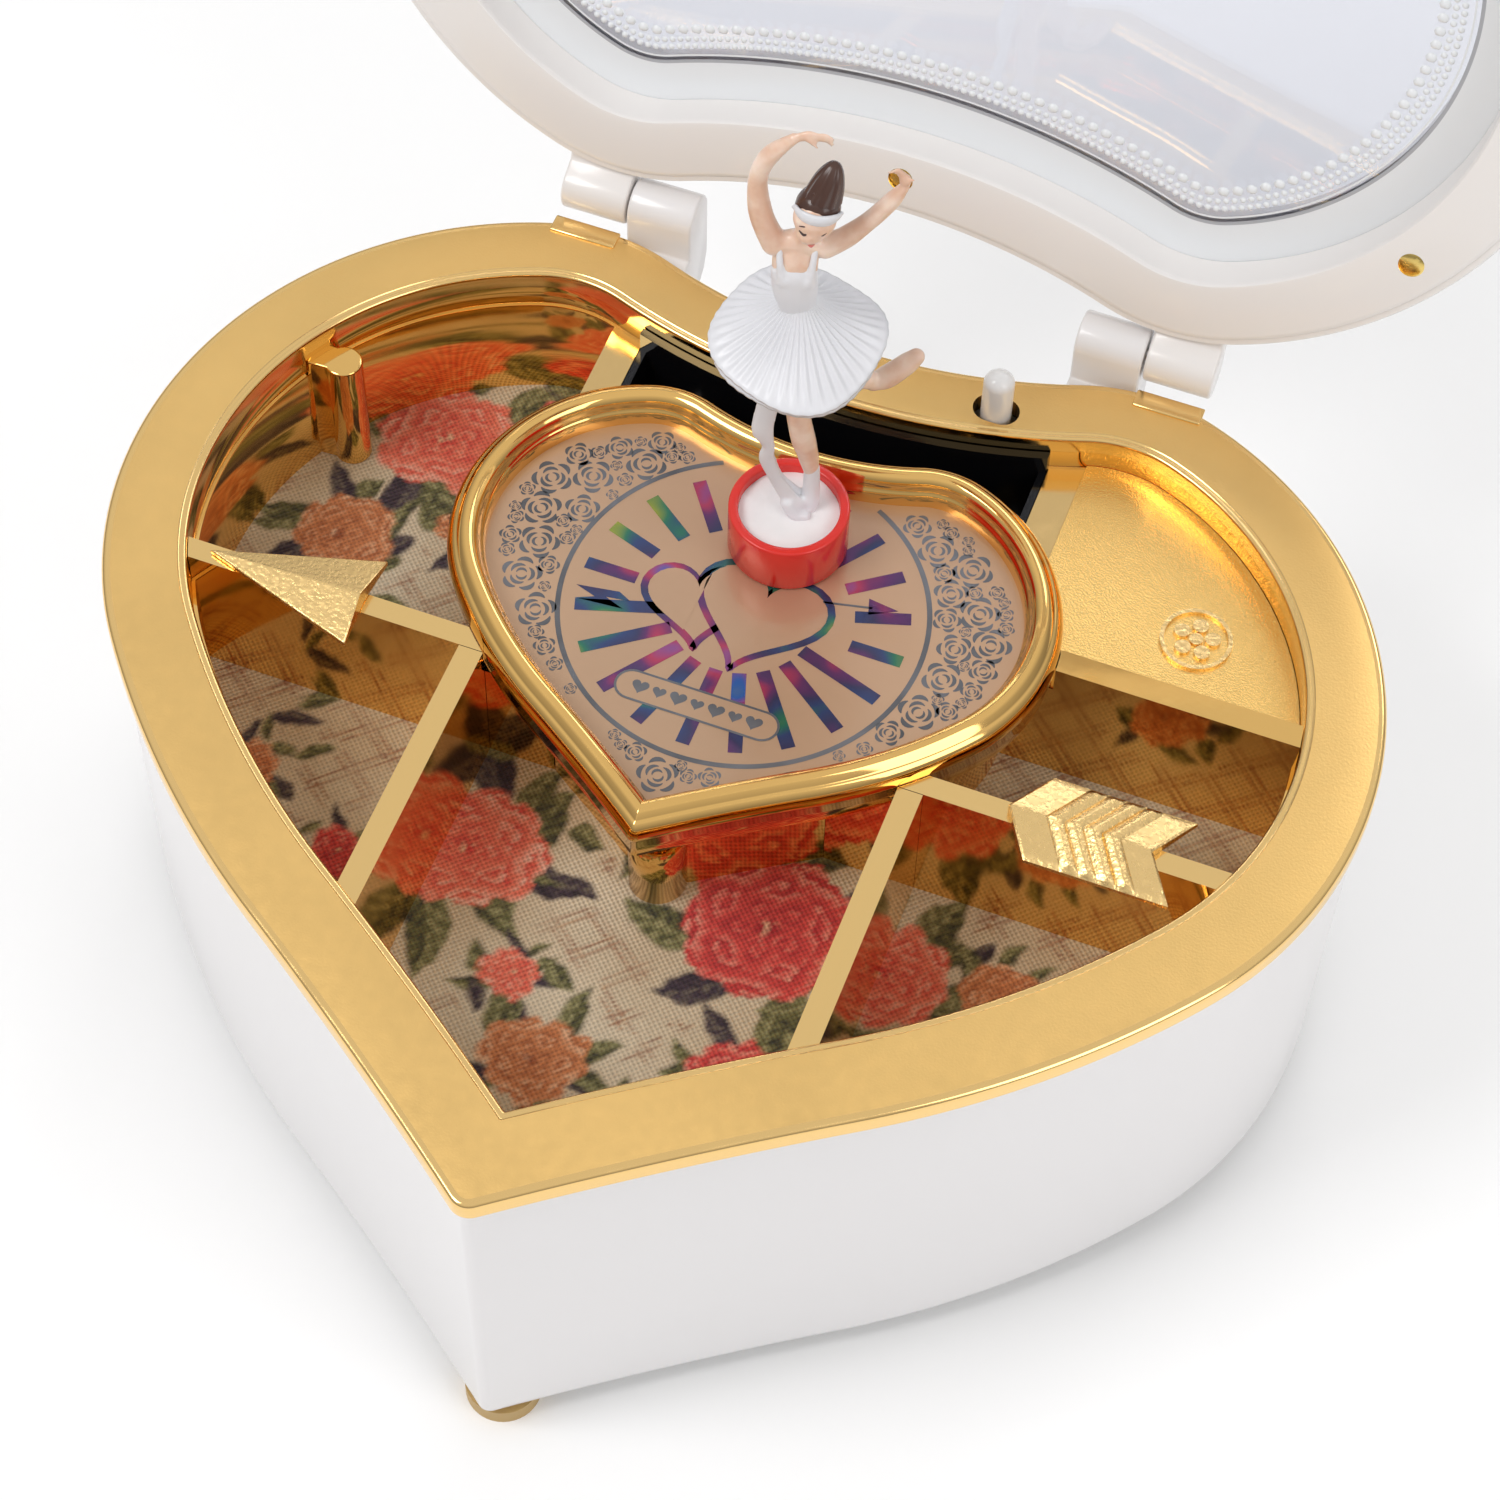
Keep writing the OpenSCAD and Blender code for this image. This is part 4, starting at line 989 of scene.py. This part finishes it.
def print_hearts(grey, foil, ground):
    """Two hearts, the right one over the left, and the arrow that pierces them."""
    left = small_heart(*LEFT_HEART, 15.5, 0.28)
    right = small_heart(*RIGHT_HEART, 19.5, -0.06)
    for loop in (left, right):
        foil.band(loop, 1.1, closed=True)
    ground.fill(shrunk([p for p in left if p[0] < -5.5], LEFT_HEART, 0.93))
    ground.fill(shrunk(right, RIGHT_HEART, 0.93))
    grey.band(shrunk(right, RIGHT_HEART, 0.86)[25:40], 0.3)
    grey.band([(4, 4.9), (17.2, 7.9)], 0.35)
    grey.band([(3.4, 7.2), (4.4, 5.4), (3.9, 3.6)], 0.4)
    foil.fill([(17.0, 6.6), (20.8, 8.7), (16.2, 9.3)])
    foil.fill([(-23.2, -3.4), (-17, -2.4), (-15, -3.4), (-18.5, -3.9), (-15.5, -5.0),
               (-22.6, -5.6), (-20, -4.4)])


def print_banner(ground, top):
    """A rounded banner with a row of small hearts."""
    outline = stadium(0, BANNER_Y, BANNER_HALF, BANNER_R)
    ground.fill(outline)
    top.band(outline, 0.35, closed=True)
    for i in range(7):
        top.fill(small_heart(-8.4 + 2.8 * i, BANNER_Y + 0.1, 2.0 if i % 2 else 2.5, n=24))


def print_stage():
    grey, foil, ground, top = Ink(), Ink(), Ink(1), Ink(2)
    print_ring(grey)
    print_roses(grey)
    print_rays(foil)
    print_hearts(grey, foil, ground)
    print_banner(ground, top)
    grey.finish("stage_print_grey", "print_grey")
    foil.finish("stage_print_foil", "print_holo")
    ground.finish("stage_print_ground", "stage_copper")
    top.finish("stage_print_banner", "print_grey")


# ---------------------------------------------------------------- lid
LID_OPEN = math.radians(105)


def lid_place(v):
    """Turns a point of the closed lid to where the open lid holds it."""
    x, y, z = v
    y, z = y - HINGE_Y, z - HINGE_Z
    c, s = math.cos(-LID_OPEN), math.sin(-LID_OPEN)
    return (x, HINGE_Y + c * y - s * z, HINGE_Z + s * y + c * z)


def open_lid(ob):
    for v in ob.data.vertices:
        v.co = Vector(lid_place(v.co / MM)) * MM
    return ob


LID_SCREWS = [(0, 44), (74, 33.7), (-80.2, -24.1), (80.2, -24.1), (-35.1, -67.8), (35.1, -67.8)]


def make_lid():
    outside = [(1.0, 72.9), (0.35, 73.0), (0.0, 73.5), (0.0, 81.2)]
    outside += quarter(2.8, 81.2, 2.8, 2.8, 180, 90, 6)[1:]
    outside += [(17.2, 84.0, 1), (17.8, 83.8, 1), (18.0, 83.3, 1), (18.0, 81.1, 1), (2.0, 81.05), (2.0, 73.0)]
    shell = ring_sweep("lid_shell", outside, "lid_cream", "lid", slot="lid_cream", stands_for=["lid_frame"])
    sharpen(open_lid(shell), 40)
    ring = [(1.25, 73.2), (1.25, 72.75), (1.6, 72.48), (2.1, 72.4), (10.6, 72.4, 1), (11.2, 72.5, 1),
            (11.45, 72.8, 1), (11.5, 73.3, 1), (11.6, 78.9, 1), (2.1, 78.9)]
    face = ring_sweep("lid_face", ring, "lid_cream", "lid", slot="lid_cream", stands_for=["lid_ring"])
    sharpen(open_lid(face), 40)
    pane = slab("lid_pane", heart(2.3), 79.02, 80.9, "clear_window", "lid", slot="clear_window",
                stands_for=["lid_window"])
    sharpen(open_lid(pane), 40)
    # printed border of the pane, on its inner face
    for name, look, spans in (("lid_border_white", "band_white", [(11.3, 17.6), (18.7, 19.0)]),
                              ("lid_border_grey", "line_grey", [(17.6, 18.15)])):
        for i, (a, b) in enumerate(spans):
            strip = ring_sweep(f"{name}_{i}", [(a, 78.98, RIM_DY), (b, 78.98, RIM_DY)], look, "lid",
                               closed=False, slot="clear_window")
            open_lid(strip)
    make_beads()
    for i, (x, y) in enumerate(LID_SCREWS):
        lid_screw(f"lid_screw_{i}", x, y, i == 0)
    for s, letter in LEFT_RIGHT:
        knuckle(f"lid_knuckle_{letter}", s, LID_BARREL, True)


def spaced(loop, gap):
    """Points every `gap` along a closed loop."""
    pts = np.vstack([loop, loop[:1]])
    steps = np.linalg.norm(np.diff(pts, axis=0), axis=1)
    along = np.concatenate([[0], np.cumsum(steps)])
    count = int(along[-1] / gap)
    where = np.linspace(0, along[-1], count, endpoint=False)
    return [(np.interp(w, along, pts[:, 0]), np.interp(w, along, pts[:, 1])) for w in where]


def make_beads():
    """Two rows of small raised dots round the pane, and a row of larger dots, each with a small dent on one
    side, outside them.
    """
    verts, faces = [], []
    rows = [(20.3, 1.25, 0.5, 0.3), (21.5, 1.25, 0.5, 0.3), (23.0, 2.1, 0.85, 0.45)]
    for inset, gap, size, tall in rows:
        for x, y in spaced(heart(inset, 1, 1, RIM_DY), gap):
            base = len(verts)
            side = 8
            for ring, (r, h) in enumerate(((1.0, 0.0), (0.75, 0.6))):
                for k in range(side):
                    t = 2 * math.pi * k / side
                    pinch = 1 - 0.22 * max(0.0, math.sin(t)) ** 4 if size > 0.6 else 1
                    reach = size * r * pinch
                    verts.append((x + reach * math.cos(t), y + reach * math.sin(t), 79.0 - tall * h))
            verts.append((x, y, 79.0 - tall))
            for k in range(side):
                m = (k + 1) % side
                faces.append((base + k, base + m, base + side + m, base + side + k))
                faces.append((base + side + k, base + side + m, base + 2 * side))
    beads = put("lid_beads", verts, faces, "band_white", "lid", slot="clear_window")
    open_lid(beads)


def lid_screw(name, x, y, main):
    """A pan-head screw with a cross slot in the lid's inner face."""
    profile = [(2.25, 73.6), (2.25, 72.75), (2.1, 72.5), (1.7, 72.33), (1.0, 72.24), (0.4, 72.22)]
    ob = lathe(name, profile, (x, y, 0), "brass_screw", "lid", turns=40, slot="brass_screw",
               stands_for=["lid_screws"] if main else ())
    verts, faces = [], []
    for a in (0.5, 0.5 + math.pi / 2):
        c, s = math.cos(a), math.sin(a)
        base = len(verts)
        for u, v in ((-1.45, -0.24), (1.45, -0.24), (1.45, 0.24), (-1.45, 0.24)):
            verts += [(x + c * u - s * v, y + s * u + c * v, z) for z in (71.9, 73.0)]
        faces += [tuple(base + k for k in f) for f in
                  ((0, 2, 4, 6), (1, 7, 5, 3), (0, 1, 3, 2), (2, 3, 5, 4), (4, 5, 7, 6), (6, 7, 1, 0))]
    cut_away(ob, place("cross", mesh_mm("cross", verts, faces)), self_cut=True)
    sharpen(open_lid(ob), 40)


def make_plunger():
    top, r = 80.0, 2.3
    profile = [(r, 45.0), (r, top - 1.9)] + quarter(0, top - 1.9, r, 1.9, 0, 84, 7)[1:]
    lathe("start_plunger", profile, (*PLUNGER_AT, 0), "white_gloss", "stopper", slot="white_plastic",
          stands_for=["plunger"])


# ---------------------------------------------------------------- figure
ORBIT = (14.6, math.radians(82))
FIGURE_AT = np.array([ORBIT[0] * math.cos(ORBIT[1]), ORBIT[0] * math.sin(ORBIT[1]), 0.0])
SIDE = np.array([0.9328, 0.3603, 0.0])
FRONT = np.array([0.3603, -0.9328, 0.0])
RING_BOT, RING_TOP = 70.1, 78.6
PLASTER_R, PLASTER_Z = 7.18, 77.0


FIG_SHIFT = (0.3, -1.9)
FIG_FOOT_Z, FIG_TALL = 77, 1.02


def fig(s, f, z):
    """A point of the figure: s to its right as seen, f towards the viewer, z above the table."""
    up = np.array([0, 0, FIG_FOOT_Z + (z - FIG_FOOT_Z) * FIG_TALL])
    return FIGURE_AT + (s + FIG_SHIFT[0]) * SIDE + (f + FIG_SHIFT[1]) * FRONT + up


class Body:
    """Collects overlapping rounded tubes, which a remesh then joins into one skin."""

    def __init__(self):
        self.verts, self.faces = [], []

    def tube(self, pts, radii, flat=1.0, sides=14):
        """Rounded tube through (s, f, z) points. flat squeezes it from front to back."""
        path, radii = smooth_path([fig(*p) for p in pts], radii)
        n = len(path)
        first = len(self.verts)
        for i in range(n):
            t = path[min(i + 1, n - 1)] - path[max(i - 1, 0)]
            t = t / np.linalg.norm(t)
            u = np.cross(t, FRONT)
            u = u / (np.linalg.norm(u) + 1e-9)
            v = np.cross(u, t)
            for k in range(sides):
                a = 2 * math.pi * k / sides
                q = path[i] + radii[i] * (u * math.cos(a) + v * math.sin(a) * flat)
                self.verts.append(tuple(q))
        self.faces += grid_quads(n - 1, sides, first)
        self.faces.append(tuple(reversed(range(first, first + sides))))
        self.faces.append(tuple(range(len(self.verts) - sides, len(self.verts))))
        self.ball(pts[0], radii[0], flat)
        self.ball(pts[-1], radii[-1], flat)

    def ball(self, p, r, flat=1.0, tall=1.0):
        rings, sides = 9, 14
        base = len(self.verts)
        c = fig(*p)
        for i in range(rings + 1):
            a = math.pi * i / rings
            for k in range(sides):
                b = 2 * math.pi * k / sides
                q = c + r * (SIDE * math.sin(a) * math.cos(b) + FRONT * flat * math.sin(a) * math.sin(b)
                             + np.array([0, 0, tall * math.cos(a)]))
                self.verts.append(tuple(q))
        self.faces += grid_quads(rings, sides, base)

    def finish(self, name, look, slot, voxel=0.3, smooth=3, **more):
        ob = put(name, self.verts, self.faces, look, "figure", slot=slot, **more)
        remesh = ob.modifiers.new("remesh", "REMESH")
        remesh.mode = "VOXEL"
        remesh.voxel_size = voxel * MM
        relax = ob.modifiers.new("relax", "SMOOTH")
        relax.iterations = smooth
        relax.factor = 0.6
        bpy.context.view_layer.update()
        apply_modifiers(ob)
        ob.data.polygons.foreach_set("use_smooth", [True] * len(ob.data.polygons))
        return ob


def smooth_path(path, radii):
    """Catmull-Rom through the points, with the radii eased the same way."""
    per = 5
    path = np.array(path)
    radii = np.array(radii, float)
    out, rad = [], []
    n = len(path)
    for i in range(n - 1):
        p0, p1, p2, p3 = (path[min(max(j, 0), n - 1)] for j in (i - 1, i, i + 1, i + 2))
        for k in range(per):
            t = k / per
            out.append(0.5 * (2 * p1 + (p2 - p0) * t + (2 * p0 - 5 * p1 + 4 * p2 - p3) * t * t
                              + (3 * p1 - p0 - 3 * p2 + p3) * t ** 3))
            rad.append(radii[i] + (radii[i + 1] - radii[i]) * (3 * t * t - 2 * t ** 3))
    out.append(path[-1])
    rad.append(radii[-1])
    return out, rad


def make_figure():
    soft = 0.35
    shoulder = RING_TOP - soft
    ring = [(7.2, RING_TOP - 1.8), (7.2, shoulder)] + quarter(7.55, shoulder, soft, soft, 180, 90, 3)[1:]
    ring += quarter(8.25, shoulder, soft, soft, 90, 0, 3)
    ring += [(8.6, RING_BOT + 0.4), (8.4, RING_BOT + 0.1), (8.1, RING_BOT)]
    base = lathe("ring_base", ring, tuple(FIGURE_AT), "red_gloss", "figure", turns=96, slot="red_gloss",
                 stands_for=["base_ring"])
    sharpen(base, 40)
    verts = []
    turns, rings = 64, 12
    for i in range(rings + 1):
        r = PLASTER_R * i / rings
        for k in range(turns):
            a = 2 * math.pi * k / turns
            x, y = r * math.cos(a), r * math.sin(a)
            lump = 0.35 * noise.noise(Vector((x * 0.35, y * 0.35, 5.0))) + 0.5 * (1 - i / rings)
            verts.append((FIGURE_AT[0] + x, FIGURE_AT[1] + y, PLASTER_Z + lump))
    put("plaster_top", verts, grid_quads(rings, turns), "plaster", "figure", slot="plaster",
        stands_for=["plaster_disc"])
    make_dancer()


def make_dancer():
    skin = Body()
    # standing leg, then the bent one
    skin.tube([(2.7, 0.6, 79.5), (2.7, 0.2, 83.5), (2.1, 0.4, 88), (1.3, 0.7, 92), (0.5, 0.6, 97),
               (0.0, 0.3, 103), (-0.2, 0, 109)],
              [1.0, 1.05, 1.5, 1.75, 1.7, 2.1, 2.8], 0.95)
    skin.tube([(0.8, 0, 109), (4.2, -0.8, 104.5), (6.9, -1.6, 101.0)], [2.8, 2.3, 1.8])
    skin.tube([(6.9, -1.6, 101.2), (8.7, -2.4, 101.6), (10.9, -3.2, 99.3)], [1.8, 1.75, 1.1])
    skin.tube([(10.7, -3.2, 99.4), (12.6, -3.6, 100.2), (15.0, -4.2, 102.0), (16.4, -4.6, 103.2)],
              [1.3, 1.75, 1.65, 1.3], 0.9)
    # torso, neck, head
    skin.tube([(-0.2, 0, 109), (-0.2, 0, 114), (-0.3, 0.2, 119), (-0.7, 0.4, 124), (-0.8, 0.2, 128.5),
               (-0.5, 0, 131.3)],
              [3.0, 2.9, 2.3, 2.9, 3.1, 2.4], 0.72)
    skin.tube([(-3.7, 0, 131.2), (-0.4, 0.1, 131.9), (2.9, 0, 130.6)], [1.5, 1.8, 1.5], 0.9)
    skin.tube([(-0.4, 0.1, 131.5), (0.1, 0.6, 134.2), (0.8, 1.2, 136.2)], [1.5, 1.2, 1.3])
    skin.ball((1.4, 2.0, 138.6), 2.9, 1.0, 1.12)
    skin.ball((0.8, 3.0, 137.0), 1.9, 1.0, 0.95)
    skin.ball((0.95, 4.55, 137.5), 0.45, 1.0, 0.9)
    # arms
    skin.tube([(-3.6, 0, 131.4), (-5.4, -0.3, 136.5), (-5.9, -0.6, 142.6), (-4.6, -0.3, 147.2),
               (-1.6, 0.1, 150.8)],
              [1.75, 1.6, 1.3, 1.3, 0.75])
    skin.tube([(-1.6, 0.1, 150.8), (0.2, 0.3, 151.5), (1.4, 0.4, 151.3)], [0.62, 0.85, 0.6], 0.6)
    skin.tube([(3.0, 0, 130.8), (5.6, -0.2, 132.3), (8.6, -0.2, 135.6), (11.0, 0, 139.2), (12.6, 0.2, 142.2)],
              [1.7, 1.5, 1.25, 1.2, 0.75])
    skin.tube([(12.6, 0.2, 142.2), (12.7, 0.3, 143.6), (12.2, 0.3, 144.6)], [0.6, 0.85, 0.6], 0.7)
    for k in range(4):
        lift = 0.26 * (k - 1.5)
        skin.tube([(1.2, 0.4, 151.4 + lift), (2.6, 0.5, 151.2 + lift * 1.3), (3.3, 0.6, 150.6 + lift * 1.6)],
                  [0.3, 0.28, 0.2], sides=8)
        skin.tube([(12.4 + lift, 0.3, 144.2), (11.8 + lift, 0.5, 145.3),
                   (11.0 + lift * 1.5, 0.6, 145.6 + lift)],
                  [0.3, 0.28, 0.2], sides=8)
    skin.tube([(0.3, 0.8, 151), (1.4, 1.2, 150.3)], [0.3, 0.22], sides=8)
    skin.tube([(12.9, 0.7, 143.2), (13.6, 0.9, 144.3)], [0.3, 0.22], sides=8)
    skin.finish("dancer_skin", "skin", "skin", 0.28, 3, stands_for=["dancer"])

    dress = Body()
    # bodice and straps
    dress.tube([(-0.2, 0.1, 117.2), (-0.3, 0.3, 119.5), (-0.7, 0.55, 123.5), (-0.9, 0.6, 126.6)],
               [2.75, 2.55, 3.1, 3.1], 0.74)
    dress.ball((-2.1, 1.7, 126.4), 1.5, 0.8)
    dress.ball((0.7, 1.7, 126.1), 1.5, 0.8)
    for side, top in ((-1, (-2.9, 0.2, 132.6)), (1, (1.9, 0.2, 132.0))):
        dress.tube([(-0.7 + side * 1.9, 2.2, 126.8), (-0.7 + side * 2.2, 1.7, 130.2), top,
                    (-0.7 + side * 2.0, -1.4, 131.0), (-0.7 + side * 1.6, -2.1, 127)],
                   [0.6, 0.5, 0.48, 0.5, 0.5])
    # slippers
    dress.tube([(2.7, 0.3, 85.2), (2.75, 0.5, 81.5), (2.75, 0.9, 78.6), (2.8, 1.4, 77.3)],
               [1.15, 1.25, 1.3, 0.85], 0.9)
    # the drape that falls from the skirt to the base
    dress.tube([(-2.6, 1.2, 108), (-3.6, 1.6, 101.5), (-4.4, 1.6, 95.4), (-3.5, 1.4, 91.4), (-3.7, 1.2, 88.4),
                (-2.4, 1.4, 84.4), (-0.8, 1.6, 81.0), (0.6, 1.8, 78.6)],
               [1.4, 1.6, 1.6, 0.95, 1.15, 1.05, 1.2, 1.5], 0.55)
    dress.tube([(-3.4, 0.2, 87.6), (-2.0, 0.0, 83.0), (0.6, 0.2, 79.2), (2.2, 0.6, 77.6)],
               [0.9, 0.8, 1.1, 1.2], 0.7)
    dress.tube([(-0.6, 2.2, 79.5), (0.6, 2.9, 77.8), (2.0, 2.9, 77.4)], [1.1, 1.0, 0.8])
    dress.finish("dancer_bodice", "dress_white", "dress_white", 0.28, 3)
    make_tutu()

    hair = Body()
    hair.ball((1.75, 1.2, 139.5), 3.05, 1.0, 1.02)
    hair.finish("dancer_hair_cap", "hair_brown", "hair_brown", 0.3, 2, stands_for=["dancer_hair"])
    make_bun()
    make_face()


def make_tutu():
    """A pleated skirt in two layers whose hem dips a little at the front."""
    pleats = 40
    around = pleats * 9
    rows = 22
    for layer, (reach, z_edge, z_top) in enumerate(((11.7, 113.6, 121.2), (11.2, 112.2, 118.6))):
        verts = []
        for side in (0, 1):
            for i in range(rows + 1):
                f = i / rows
                r = 1.9 + (reach - 1.9) * f
                for k in range(around):
                    a = 2 * math.pi * k / around
                    ripple = math.sin(pleats * a + 0.8 * math.sin(3 * a + layer))
                    pleat = 0.24 * math.sin(math.pi * min(1.0, f * 1.05)) ** 0.5 * ripple
                    wave = 0.55 * f * f * math.sin(3 * a + 1.0 + layer)
                    rr = r * (1 + 0.004 * f * math.sin(pleats * a) + 0.03 * f * math.sin(4 * a + 2))
                    drop = (z_top - z_edge) * (f ** 0.62)
                    front = math.sin(a)
                    z = z_top - drop + pleat + wave - 1.1 * f * abs(front) - 0.35 * side
                    z += 0.2 * f * math.cos(a) - 0.9 * f * front
                    p = fig(rr * math.cos(a), rr * front, z)
                    verts.append(tuple(p))
        n = around
        half = (rows + 1) * n
        faces = grid_quads(rows, n) + grid_quads(rows, n, half)
        for i in (0, rows):
            for k in range(n):
                m = (k + 1) % n
                faces.append((i * n + k, i * n + m, half + i * n + m, half + i * n + k))
        put(f"dancer_tutu_{layer}", verts, faces, "dress_white", "figure", slot="dress_white",
            stands_for=["dancer_dress"] if layer == 0 else ())


def make_bun():
    """A tall cone of hair with grooves, and the white band in front of it."""
    root, top = fig(2.3, 1.0, 141.0), fig(3.9, -0.4, 146.2)
    axis = top - root
    length = np.linalg.norm(axis)
    axis = axis / length
    u = np.cross(axis, FRONT)
    u = u / np.linalg.norm(u)
    v = np.cross(u, axis)
    verts = []
    rows, sides = 16, 72
    for i in range(rows + 1):
        f = i / rows
        r = 2.45 * math.sqrt(max(0.0, 1 - f ** 2.6)) * (1 - 0.28 * f) + 0.02
        for k in range(sides):
            a = 2 * math.pi * k / sides
            groove = 1 + 0.05 * math.sin(12 * a + 2.2 * f) * (1 - f * 0.5)
            p = root + axis * length * f + r * groove * (u * math.cos(a) + v * math.sin(a))
            verts.append(tuple(p))
    put("dancer_bun", verts, grid_quads(rows, sides), "hair_brown", "figure", slot="hair_brown")
    band = Body()
    arc_pts = []
    for i in range(9):
        a = math.radians(-75 + 150 * i / 8)
        z = 140.6 - 0.15 * i + 0.5 * math.cos(a)
        arc_pts.append((1.7 + 3.0 * math.sin(a), 1.5 + 2.95 * math.cos(a), z))
    band.tube(arc_pts, [0.5, 0.75, 0.9, 0.95, 0.95, 0.95, 0.9, 0.75, 0.5], 0.5)
    band.finish("dancer_headband", "dress_white", "dress_white", 0.22, 2)


def make_face():
    """A plain doll's face: closed eyes, brows and a small mouth."""
    def stroke(name, pts, radius, look):
        one = Body()
        one.tube(pts, radius, sides=8)
        put(name, one.verts, one.faces, look, "figure", slot="hair_brown" if look == "ink" else "skin")

    for s, letter in LEFT_RIGHT:
        cx = 1.1 + s * 1.15
        arc_eye = [(cx - 0.55, 4.3 - 0.25 * (s < 0), 138.2), (cx, 4.52, 137.95), (cx + 0.55, 4.3, 138.2)]
        stroke(f"dancer_eye_{letter}", arc_eye, [0.1, 0.16, 0.1], "ink")
        brow = [(cx - 0.6, 4.05, 139.1), (cx, 4.32, 139.3), (cx + 0.6, 4.05, 139.1)]
        stroke(f"dancer_brow_{letter}", brow, [0.06, 0.1, 0.06], "ink")
    mouth = [(0.5, 4.55, 136.25), (0.9, 4.8, 136.15), (1.3, 4.6, 136.25)]
    stroke("dancer_mouth", mouth, [0.08, 0.17, 0.08], "lips")


# ---------------------------------------------------------------- the rest of the CAD nodes
def dress_rest():
    for name in nodes:
        if name not in (*WALLS, "shelf", "rear_cover"):
            dress(name, "gold_grain" if name == "shelf_emblem" else SLOT_OF[name])
    for name in ("feet", "base_screws", "base_plate", "winding_key", "hinge_pins", "shelf_emblem",
                 "movement_bedplate", "bearing_plates", "barrel_bridge", "comb_base", "spindle_bridge"):
        bevel(nodes[name], 0.12 if name == "shelf_emblem" else 0.3, 2)


def make_world():
    """An even white room that is darker towards the horizon."""
    world = bpy.data.worlds.new("world")
    bpy.context.scene.world = world
    world.use_nodes = True
    sky = world.node_tree
    direction = sky.nodes.new("ShaderNodeTexCoord").outputs["Generated"]
    parts = sky.nodes.new("ShaderNodeSeparateXYZ")
    sky.links.new(direction, parts.inputs[0])
    band = sky.nodes.new("ShaderNodeValToRGB")
    sky.links.new(parts.outputs["Z"], band.inputs["Fac"])
    stops = ((0.05, (0.34, 0.34, 0.35, 1)), (0.75, (0.86, 0.855, 0.85, 1)))
    for element, (position, color) in zip(band.color_ramp.elements, stops):
        element.position = position
        element.color = color
    sky.links.new(band.outputs["Color"], sky.nodes["Background"].inputs["Color"])
    sky.nodes["Background"].inputs["Strength"].default_value = 0.85


def make_studio():
    r = 4000
    corners = [(-r, -r, 0), (r, -r, 0), (r, r, 0), (-r, r, 0)]
    floor = place("floor", mesh_mm("floor", corners, [(0, 1, 2, 3)]))
    look = Look("floor", (0.95, 0.95, 0.95), 0.6)
    look.mottle(3, 0.99, 1.01)
    floor.data.materials.append(look.mat)
    make_world()
    area_light("key", (-500, -420, 900), (0, 0, 60), (420, 420), 4.2)
    area_light("fill", (700, -300, 600), (0, 0, 60), (400, 600), 1.8)
    area_light("back", (100, 800, 700), (0, 0, 80), (700, 300), 2.2)
    bpy.context.scene.view_settings.view_transform = "Standard"


make_camera()
make_studio()
make_case()
make_rim()
make_tray()
make_arrow()
make_lining()
make_stage()
make_lid()
make_plunger()
make_figure()
dress_rest()
